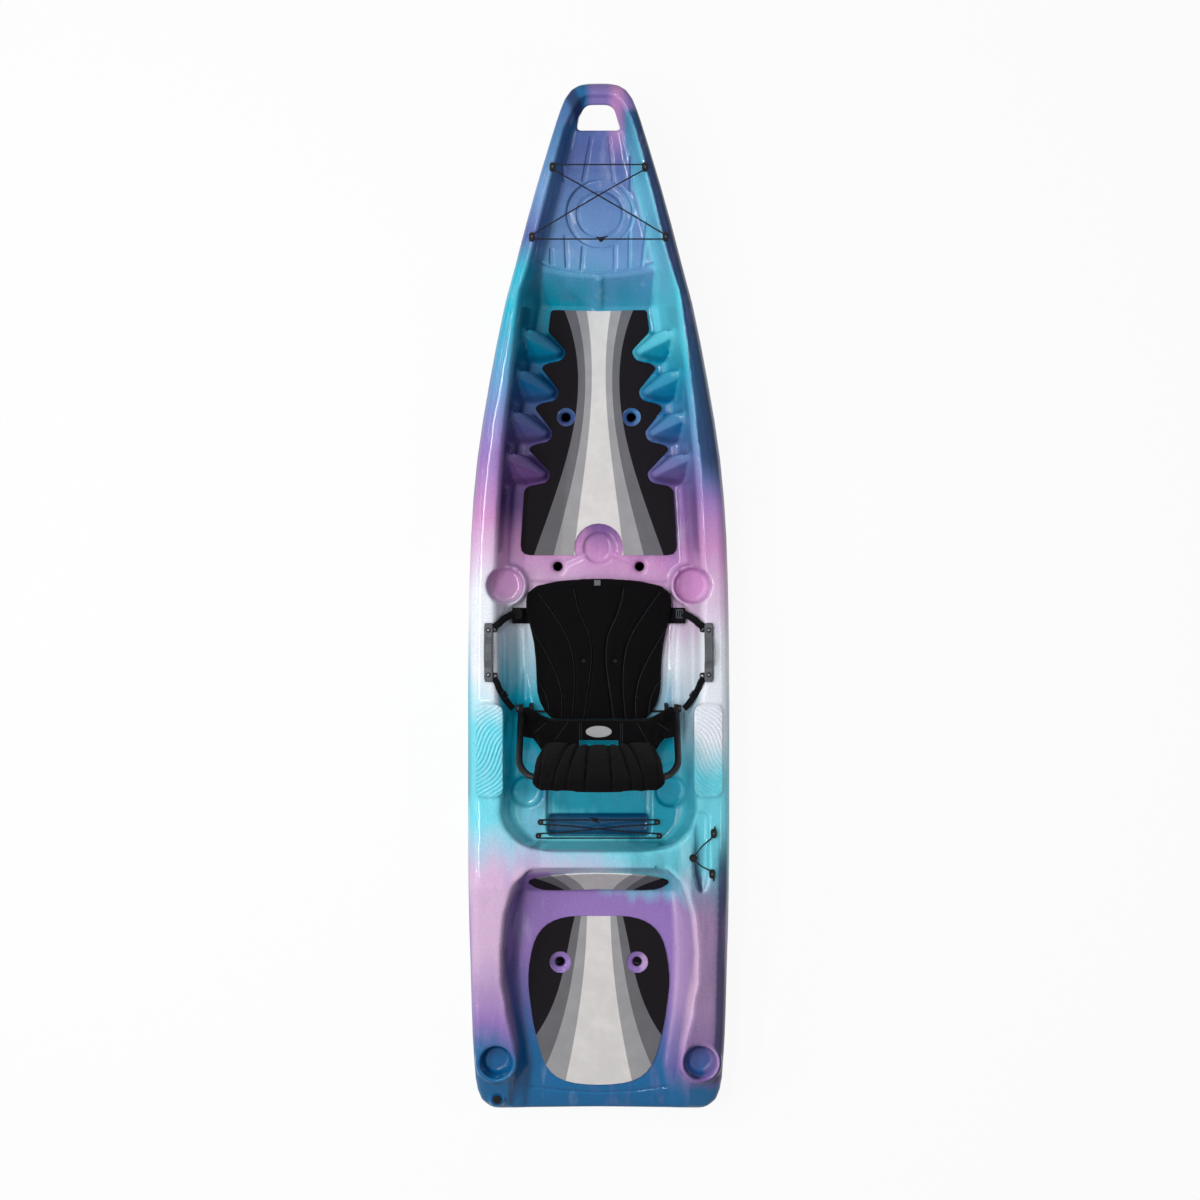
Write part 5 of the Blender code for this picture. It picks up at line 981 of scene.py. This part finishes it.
SEAT_SEAMS = [along_curve(seat_places(rows)) for rows in (
    ((60.3, 592), (48.0, 609), (36.3, 627), (29.5, 640), (25.6, 653), (23.6, 668), (23.2, 684),
     (24.2, 702), (25.6, 718)),
    ((23.8, 588), (21.5, 601), (17.5, 614), (12.0, 626), (8.0, 637), (6.4, 650), (6.5, 664), (8.4, 680),
     (11.5, 702), (14.0, 719)),
    ((68.0, 627), (59.5, 640), (52.3, 652), (45.5, 665), (39.9, 678), (36.6, 692), (35.7, 705), (36.3, 719)),
    ((62.0, 680), (56.0, 687), (51.3, 697), (49.3, 707), (49.0, 716)))]
SEAT_SEAMS += [[(-x, y) for x, y in seam] for seam in SEAT_SEAMS]
FRONT_ROLL = along_curve(((-0.222, 0.012), (-0.206, 0.024), (-0.15, 0.040), (-0.08, 0.047), (0.0, 0.0495),
                          (0.08, 0.047), (0.15, 0.040), (0.206, 0.024), (0.222, 0.012)))
cushion_mesh = remeshed("seat_cushion", 0.005, 3)
places = corners(cushion_mesh)
top = facing(cushion_mesh)[:, 2] > 0.25
gap = np.min([away_from(places, seam) for seam in SEAT_SEAMS + [FRONT_ROLL]], axis=0)
held = np.where(top, 1.0 - step(gap, 0.004, 0.012), 0.6)
held = np.where(places[:, 2] < 0.150, 1.0, held)
set_corners(cushion_mesh, swollen(cushion_mesh, held, 5.0, 0.008))
cushion_mesh = finer(cushion_mesh)
places = corners(cushion_mesh)
top = facing(cushion_mesh)[:, 2] > 0.2
gap = np.min([away_from(places, seam) for seam in SEAT_SEAMS], axis=0)
roll = away_from(places, FRONT_ROLL)
dips = 0.0085 * np.exp(-(gap / 0.0042) ** 2) + 0.0045 * np.exp(-(roll / 0.005) ** 2)
BUTTONS = on_floor(((583.5, 661), (615, 661)), SEAT_LEVEL)
EYELETS = on_floor(((562, 696.7), (636.5, 696.7)), SEAT_LEVEL)
for spot, width, depth in [(b, 0.012, 0.010) for b in BUTTONS] + [(e, 0.007, 0.006) for e in EYELETS]:
    reach = np.hypot(places[:, 0] - spot[0], places[:, 1] - spot[1])
    dips = np.maximum(dips, depth * np.exp(-(reach / width) ** 2))
places[:, 2] -= np.where(top, dips, 0.0)
places[:, 2] = np.maximum(places[:, 2], PAN_TOP)
set_corners(cushion_mesh, places)
seat_pad = added("seat_pad_skin", cushion_mesh, seat_cloth)
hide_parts("seat_cushion")
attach(seat_pad, "boat")
print("seat cushion", len(cushion_mesh.polygons), "faces")

# %% [markdown]
# Stitches are short grey threads beside each seam. They are laid on the finished cushion by rays from
# above, so they follow its rolls.

# %% Stitches, buttons and tag on the cushion
def from_above(place):
    return Vector((place[0], place[1], 1.0))


DOWN = Vector((0, 0, -1))
threads = []
for seam in SEAT_SEAMS:
    side = math.copysign(0.0042, seam[0][0])
    run = laid_on(seat_pad, [(x + side, y) for x, y in seam], from_above, DOWN, 0.0003)
    threads += stitched(run)
seat_thread = line_run("seat_thread", threads, 0.00055, thread)
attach(seat_thread, "boat")


def lathe(name, profile, place, finish, steps=20):
    """Turns (radius, height) pairs into a round piece about an upright axis."""
    net = bmesh.new()
    rings = []
    for radius, height in profile:
        ring = []
        for number in range(steps):
            turn = 2 * math.pi * number / steps
            ring.append(net.verts.new((place[0] + radius * math.cos(turn), place[1] + radius * math.sin(turn),
                                       place[2] + height)))
        rings.append(ring)
    bridged(net, rings, True)
    return from_net(name, net, finish)


STUD_SHAPE = ((0.0070, -0.004), (0.0074, 0.0), (0.0068, 0.0016), (0.0050, 0.0024), (0.0026, 0.0022),
              (0.0022, 0.0008), (0.0006, 0.0006))
EYELET_SHAPE = [(0.55 * radius, 0.6 * height) for radius, height in STUD_SHAPE]
for number, spot in enumerate(BUTTONS):
    seat = laid_on(seat_pad, [spot], from_above, DOWN, 0.0)[0]
    stud = lathe(f"seat_button_{number + 1}", STUD_SHAPE, seat, black_nylon)
    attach(stud, "boat")
for number, spot in enumerate(EYELETS):
    seat = laid_on(seat_pad, [spot], from_above, DOWN, 0.0)[0]
    eyelet = lathe(f"seat_eyelet_{number + 1}", EYELET_SHAPE, seat, black_nylon)
    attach(eyelet, "boat")
print("stitches on the cushion", len(threads))

# %% [markdown]
# A small woven tag is sewn over the middle of the front roll. It is a strip of tape: a row of rays from
# above finds the roll under it, and the strip is drawn a little higher and given its own thickness.

# %% Tag sewn over the front roll
TAG_HALF = 0.0105
TAG_SHIFT = -0.0045
TAG_THICK = 0.0012

tag_cloth = fabric_finish("grey_tag_tape", colour(88, 88, 92), colour(122, 122, 126))
tag_rows = laid_on(seat_pad, [(TAG_SHIFT, y) for y in np.linspace(0.071, 0.053, 8)], from_above, DOWN, 0.0)
net = bmesh.new()
rows = []
for place in tag_rows:
    xs = [x + TAG_SHIFT for x in np.linspace(-TAG_HALF, TAG_HALF, 8)]
    rows.append([net.verts.new((x, place.y, place.z + TAG_THICK)) for x in xs])
bridged(net, rows, False)
tag = from_net("seat_tag", net, tag_cloth)
thick = tag.modifiers.new("thick", "SOLIDIFY")
thick.thickness = TAG_THICK
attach(tag, "boat")
print("tag rows", len(tag_rows))

# %% [markdown]
# The back pad is the same fabric over the curled tube frame. It leans back, so its seams are given up the
# pad: half widths at the foot and at the top, straight between them, three channels each side of the
# middle.

# %% Back pad
BACK_FOOT = 0.235
BACK_TOP = 0.585
BACK_CHANNELS = ((0.0306, 0.0420), (0.0593, 0.1015), (0.0886, 0.1423))


def channel_gap(places):
    """Distance across the pad to the nearest channel."""
    share = np.clip((places[:, 2] - BACK_FOOT) / (BACK_TOP - BACK_FOOT), 0.0, 1.0)
    gaps = [np.abs(np.abs(places[:, 0]) - (foot + (high - foot) * share)) for foot, high in BACK_CHANNELS]
    return np.min(gaps, axis=0)


def pad_width(height):
    """Width of the pad at a height, as a share of the plain pad's."""
    return 0.925 + 0.065 * step(height, 0.25, 0.50) + 0.035 * step(height, 0.53, 0.58)


back_mesh = remeshed("backrest_pad", 0.005, 2)
places = corners(back_mesh)
places[:, 0] *= pad_width(places[:, 2])
corner = step(np.abs(places[:, 0]), 0.110, 0.185) * step(places[:, 2], 0.500, 0.575)
places[:, 0] += np.sign(places[:, 0]) * 0.010 * corner
places[:, 1] -= 0.012 * corner
set_corners(back_mesh, places)
ways = facing(back_mesh)
front = ways[:, 1] > 0.15
held = np.where(front | (ways[:, 2] > 0.2), 1.0 - step(channel_gap(places), 0.005, 0.012), 0.6)
held = np.where(ways[:, 1] < -0.3, 1.0, held)
set_corners(back_mesh, swollen(back_mesh, held, 5.0, 0.007))
back_mesh = finer(back_mesh)
places = corners(back_mesh)
ways = facing(back_mesh)
front = (ways[:, 1] > 0.05) | (ways[:, 2] > 0.45)
dips = np.where(front, 0.0085 * np.exp(-(channel_gap(places) / 0.0045) ** 2), 0.0)
rim = np.abs(np.abs(places[:, 0]) - (0.2 * pad_width(places[:, 2]) - 0.016))
rim_dips = 0.005 * np.exp(-(rim / 0.0035) ** 2)
dips = np.maximum(dips, np.where(front & (places[:, 2] > 0.30), rim_dips, 0.0))
places -= ways * dips[:, None]
set_corners(back_mesh, places)
back_pad = added("back_pad_skin", back_mesh, seat_cloth)
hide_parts("backrest_pad")
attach(back_pad, "backrest")
print("back pad", len(back_mesh.polygons), "faces")

# %% [markdown]
# A skirt of the same fabric joins the foot of the back pad to the tube at each side, with a long slot in
# the middle that a strap could pass through. It is one net of rows and columns: the rows go by its front
# and rear edges, the height by the row, and the slot is left out. Solidify gives it the thickness of two
# layers.

# %% Skirt between the cushion and the back
SKIRT_FRONT = ((0.0, -0.387), (0.150, -0.387), (0.160, -0.385), (0.172, -0.379), (0.190, -0.369),
               (0.213, -0.357), (0.227, -0.344), (0.2405, -0.344), (0.250, -0.348))
SKIRT_REAR = ((0.0, -0.484), (0.168, -0.486), (0.180, -0.492), (0.190, -0.478), (0.205, -0.460),
              (0.215, -0.448), (0.2405, -0.444), (0.250, -0.440))
SKIRT_RISE = ((0.0, 0.1450), (0.015, 0.1780), (0.05, 0.1990), (0.16, 0.2105), (0.36, 0.2172), (0.70, 0.2255),
              (1.0, 0.2330))
SLOT_HALF = 0.066
SLOT_ROWS = (-0.4525, -0.4700)


def skirt_height(x, share):
    """Height of the skirt at a half width and a share of the way from its front to its rear edge."""
    middle = np.interp(share, *zip(*SKIRT_RISE))
    shoulder = 0.0215 * step(0.50 - share, 0.0, 0.40) * step(x, 0.198, 0.214)
    wing = 0.2135 + shoulder - 0.007 * np.exp(-(share / 0.07) ** 2)
    height = middle + (wing - middle) * step(x, 0.155, 0.190)
    height -= 0.0034 * (1 - step(x, 0.046, 0.062)) * step(share, 0.02, 0.12)
    climb = step(x, 0.150, 0.176) * (1 - step(x, 0.186, 0.208)) * step(share, 0.45, 1.0)
    return height + 0.052 * climb


net = bmesh.new()
columns = np.linspace(-0.2500, 0.2500, 141)
shares = np.linspace(0.0, 1.0, 37)
rows = []
for share_of_depth in shares:
    row = []
    for x in columns:
        ahead = np.interp(abs(x), *zip(*SKIRT_FRONT))
        behind = np.interp(abs(x), *zip(*SKIRT_REAR))
        y = ahead + (behind - ahead) * share_of_depth
        row.append(net.verts.new((x, y, float(skirt_height(abs(x), share_of_depth)))))
    rows.append(row)
for low, high in zip(rows, rows[1:]):
    for number in range(len(columns) - 1):
        ring = (low[number], low[number + 1], high[number + 1], high[number])
        middle = sum((v.co for v in ring), Vector()) / 4
        if abs(middle.x) < SLOT_HALF and SLOT_ROWS[1] < middle.y < SLOT_ROWS[0]:
            continue
        net.faces.new(ring)
skirt_mesh = bpy.data.meshes.new("skirt")
bmesh.ops.delete(net, geom=[v for v in net.verts if not v.link_faces], context="VERTS")
bmesh.ops.recalc_face_normals(net, faces=net.faces)
net.to_mesh(skirt_mesh)
net.free()
if facing(skirt_mesh)[:, 2].mean() < 0:
    skirt_mesh.flip_normals()
skirt = added("back_skirt", skirt_mesh, seat_cloth)
layers = skirt.modifiers.new("layers", "SOLIDIFY")
layers.thickness = 0.005
layers.offset = -1.0
round_edge = skirt.modifiers.new("round_edge", "BEVEL")
round_edge.width = 0.0012
round_edge.segments = 2
round_edge.limit_method = "ANGLE"
round_edge.angle_limit = math.radians(50)
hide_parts("backrest_wing_port", "backrest_wing_starboard", "hinge_band")
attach(skirt, "backrest")
print("skirt", len(skirt_mesh.polygons), "faces")

# %% [markdown]
# Short rows of the same grey thread hold the skirt to the back. The patch on the band keeps the frame's
# shape and is left plain, in a pale weave.

# %% Stitches on the skirt
SKIRT_SEAMS = [on_floor(line, 0.215) for line in (
    ((532.9, 733.9), (546, 722.7)), ((554.3, 741), (567.6, 722.7)), ((579.6, 723), (579.6, 746)),
    ((581.4, 723), (581.4, 746)), ((620.7, 723), (620.7, 746)), ((622.5, 723), (622.5, 746)),
    ((637, 722.7), (648, 742)), ((657, 722.7), (670.6, 731.8)))]
threads = []
for seam in SKIRT_SEAMS:
    (ax, ay), (bx, by) = seam
    line = [(ax + (bx - ax) * t, ay + (by - ay) * t) for t in np.linspace(0, 1, 14)]
    run = laid_on(skirt, line, from_above, DOWN, 0.0003)
    if len(run) > 2:
        threads += stitched(run)
skirt_thread = line_run("skirt_thread", threads, 0.00055, thread)
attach(skirt_thread, "backrest")
patch_cloth = fabric_finish("grey_patch_weave", colour(150, 150, 151), colour(184, 184, 184))
coated(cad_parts["badge_patch"], patch_cloth)
print("stitches on the skirt", len(threads))

# %% [markdown]
# Straps are flat ribbons. Each follows a few places with its own way across at every place, so it can
# twist where the real webbing does: flat at the seat tab, turned halfway, and flat again on the rail.

# %% Seat straps
RIBBON_EDGES = ((-1.0, 0.2), (-0.94, 0.5), (0.94, 0.5), (1.0, 0.2))


def ribbon(name, places, ways, width, finish, thick=0.0018, steps=10):
    """A flat strap with rounded edges along a few places, each with its own way across."""
    centre = along_curve(places, steps)
    across = along_curve(ways, steps)
    net = bmesh.new()
    rings = []
    for number, (place, way) in enumerate(zip(centre, across)):
        ahead = Vector(centre[min(number + 1, len(centre) - 1)]) - Vector(centre[max(number - 1, 0)])
        side = (Vector(way) - ahead.normalized() * Vector(way).dot(ahead.normalized())).normalized()
        up = side.cross(ahead).normalized()
        if up.z < 0:
            up = -up
        middle = Vector(place)
        ring = []
        for share, drop in RIBBON_EDGES:
            ring.append(middle + side * width / 2 * share + up * thick * drop)
        for share, drop in reversed(RIBBON_EDGES):
            ring.append(middle + side * width / 2 * share - up * thick * drop)
        rings.append([net.verts.new(v) for v in ring])
    bridged(net, rings, True)
    bmesh.ops.recalc_face_normals(net, faces=net.faces)
    return from_net(name, net, finish)


FRONT_STRAP = (((0.2775, -0.0385, 0.1915), (0.45, 0.88, 0.0)), ((0.296, -0.048, 0.224), (0.45, 0.88, 0.1)),
               ((0.313, -0.060, 0.270), (0.50, 0.84, 0.15)), ((0.3215, -0.069, 0.290), (0.55, 0.80, 0.1)),
               ((0.3395, -0.0830, 0.2925), (0.45, 0.88, 0.0)))
REAR_STRAP = (((0.340, -0.247, 0.2925), (0.62, -0.78, 0.0)), ((0.330, -0.262, 0.2915), (0.80, -0.55, 0.1)),
              ((0.3235, -0.281, 0.280), (0.92, -0.30, 0.25)), ((0.311, -0.306, 0.258), (0.85, -0.50, 0.15)),
              ((0.2985, -0.326, 0.240), (0.80, -0.60, 0.10)), ((0.2885, -0.340, 0.2285), (0.72, -0.70, 0.1)),
              ((0.2790, -0.3500, 0.2190), (0.62, -0.78, 0.0)))
KEEPER_LOOP = ((0.3175, -0.3010, 0.2670), (0.3060, -0.2900, 0.2690), (0.2965, -0.3050, 0.2530),
               (0.3070, -0.3180, 0.2480))
for word, side in (("port", -1), ("starboard", 1)):
    for end, run, width in (("front", FRONT_STRAP, 0.0225), ("rear", REAR_STRAP, 0.0205)):
        places = [(side * x, y, z) for (x, y, z), way in run]
        ways = [(side * x, y, z) for place, (x, y, z) in run]
        strap = ribbon(f"strap_{word}_{end}", places, ways, width, webbing)
        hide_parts(f"seat_strap_{word}_{end}")
        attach(strap, "boat")
    loop = [(side * x, y, z) for x, y, z in KEEPER_LOOP]
    keeper = line_run(f"strap_keeper_{word}", [loop], 0.0028, black_nylon, True)
    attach(keeper, "boat")
print("straps", 4)

# %% [markdown]
# A ladder lock is a small frame with bars that webbing winds through. It is one closed loop of round bar
# with two bars across it, in the place of the plain block of the frame.

# %% Ladder locks at the seat tabs
LOCK_LEVEL = 0.1885
LOCK_INSET = 0.0024
LOCK_CORNER = 0.003
LOCK_FOLD = ((0.2500, -0.0400, 0.1800), (0.2590, -0.0400, 0.1880), (0.2680, -0.0400, 0.1842),
             (0.2790, -0.0395, 0.1900))
for word, side, finish in (("port", -1, black_nylon), ("starboard", 1, buckle_grey)):
    low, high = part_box(f"strap_buckle_{word}")
    left, right = low[0] + LOCK_INSET, high[0] - LOCK_INSET
    rear, front = low[1] + LOCK_INSET, high[1] - LOCK_INSET
    outline = ((left, rear + LOCK_CORNER), (left + LOCK_CORNER, rear), (right - LOCK_CORNER, rear),
               (right, rear + LOCK_CORNER), (right, front - LOCK_CORNER), (right - LOCK_CORNER, front),
               (left + LOCK_CORNER, front), (left, front - LOCK_CORNER))
    loop = [(x, y, LOCK_LEVEL) for x, y in outline]
    bars = [[(left + (right - left) * part, y, LOCK_LEVEL) for y in (rear, front)] for part in (0.36, 0.66)]
    frame_loop = line_run(f"ladder_lock_{word}", [loop], 0.0022, finish, True)
    cross_bars = line_run(f"ladder_bars_{word}", bars, 0.0019, finish)
    fold = ribbon(f"ladder_webbing_{word}", [(side * x, y, z) for x, y, z in LOCK_FOLD],
                  [(0.0, 1.0, 0.0)] * len(LOCK_FOLD), 0.0235, webbing)
    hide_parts(f"strap_buckle_{word}")
    for piece in (frame_loop, cross_bars, fold):
        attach(piece, "boat")
print("ladder locks", 2)

# %% [markdown]
# The pivot of the back frame sits in a slim lug that rises from the pan. Its outline is a foot, two
# straight sides and half a circle round the pin, pushed out along X with a small bevel.

# %% Hinge lugs
def plate(name, outline, start, end, finish, bevel=0.0012):
    """A flat piece: an outline of (y, z) places pushed along X."""
    net = bmesh.new()
    face = net.faces.new([net.verts.new((start, y, z)) for y, z in outline])
    pushed = bmesh.ops.extrude_face_region(net, geom=[face])
    moved = [v for v in pushed["geom"] if isinstance(v, bmesh.types.BMVert)]
    bmesh.ops.translate(net, vec=(end - start, 0, 0), verts=moved)
    bmesh.ops.recalc_face_normals(net, faces=net.faces)
    edges = [e for e in net.edges if len(e.link_faces) == 2 and e.calc_face_angle(0) > 0.9]
    bmesh.ops.bevel(net, geom=edges, offset=bevel, segments=2, affect="EDGES")
    return from_net(name, net, finish, smooth=False)


PIN_Y = -0.350
PIN_Z = 0.212
LUG_RADIUS = 0.0145
lug_outline = [(-0.3660, 0.1310), (-0.3340, 0.1310), (-0.3340, 0.1400), (-0.3365, 0.1500)]
for turn in range(0, 181, 15):
    turn = math.radians(turn)
    lug_outline.append((PIN_Y + LUG_RADIUS * math.cos(turn), PIN_Z + LUG_RADIUS * math.sin(turn)))
lug_outline += [(-0.3635, 0.1500), (-0.3660, 0.1400)]
foot_outline = [(-0.3665, 0.1310), (-0.3590, 0.1310), (-0.3590, 0.1335), (-0.3665, 0.1335)]
for word, side in (("port", -1), ("starboard", 1)):
    lug = plate(f"hinge_lug_{word}", lug_outline, side * 0.2165, side * 0.2280, black_nylon)
    foot = plate(f"hinge_foot_{word}", foot_outline, side * 0.155, side * 0.2200, black_nylon, 0.0006)
    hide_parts(f"hinge_bracket_{word}")
    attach(lug, "boat")
    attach(foot, "boat")
print("hinge lugs", 2)

# %% [markdown]
# Each anchor has a small dome head screw. The bow bungee and the pocket bungee are each tied with a real
# knot: a curve that goes over and under itself three times, with two short loose ends, drawn as round
# cord.

# %% Anchor screws and bungee knots
bright_steel = steel_finish("bright_screw_steel", colour(92, 94, 100), 0.32)
SCREW_SHAPE = ((0.0033, -0.0006), (0.0034, 0.0003), (0.0026, 0.0011), (0.0012, 0.0014), (0.0010, 0.0006),
               (0.0004, 0.0006))
screws = 0
for name in [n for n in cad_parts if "_anchor_" in n]:
    low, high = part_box(name)
    place = ((low[0] + high[0]) / 2, (low[1] + high[1]) / 2, high[2])
    screw = lathe(f"{name}_screw", SCREW_SHAPE, place, bright_steel)
    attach(screw, "boat")
    screws += 1


def knot(name, node, size, tails, finish):
    """A knot and its two ends in the place of a plain node; a tail says how far each end reaches."""
    low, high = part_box(node)
    middle = (Vector(low) + Vector(high)) / 2
    loop = []
    for number in range(73):
        turn = 2 * math.pi * number / 72
        loop.append((middle.x + size * 1.25 * (math.sin(turn) + 2 * math.sin(2 * turn)) / 3,
                     middle.y + size * 0.75 * (math.cos(turn) - 2 * math.cos(2 * turn)) / 3,
                     middle.z + 0.0008 - size * 0.42 * math.sin(3 * turn)))
    ends = []
    for dx, dy in tails:
        bend = (middle.x + dx * 0.5, middle.y + dy * 0.7, middle.z + 0.004)
        tip = (middle.x + dx, middle.y + dy, middle.z + 0.002)
        ends.append(along_curve([tuple(middle), bend, tip], 6))
    tied = line_run(name, [loop[:-1]], 0.0024, finish, True)
    loose = line_run(name + "_ends", ends, 0.0022, finish)
    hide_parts(node)
    for piece in (tied, loose):
        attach(piece, "boat")


knot("bow_knot", "bow_bungee_knot", 0.0095, ((0.021, 0.009), (-0.016, 0.006)), bungee)
knot("pocket_knot", "pocket_bungee_knot", 0.0080, ((-0.019, 0.008), (0.014, -0.009)), bungee)
print("anchor screws", screws, "knots", 2)

# %% [markdown]
# The pad on the slope behind the seat reaches down to the curve at the slope's foot. It is a copy of the
# frame's pad, drawn out along the slope from its upper edge.

# %% Slope pad
LOWER_REACH = 0.15
slope_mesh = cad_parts["mid_deck_pad"].data.copy()
places = corners(slope_mesh)
low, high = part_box("mid_deck_pad")
down_slope = (high[2] - places[:, 2]) / (high[2] - low[2])
places[:, 1] -= LOWER_REACH * down_slope * (high[1] - low[1])
places[:, 2] -= LOWER_REACH * down_slope * (high[2] - low[2])
set_corners(slope_mesh, places)
slope_pad = added("slope_pad", slope_mesh, foam_finish("slope_pad_foam", MID_STRIPES), smooth=False)
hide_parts("mid_deck_pad")
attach(slope_pad, "boat")
print("slope pad", len(slope_mesh.polygons), "faces")
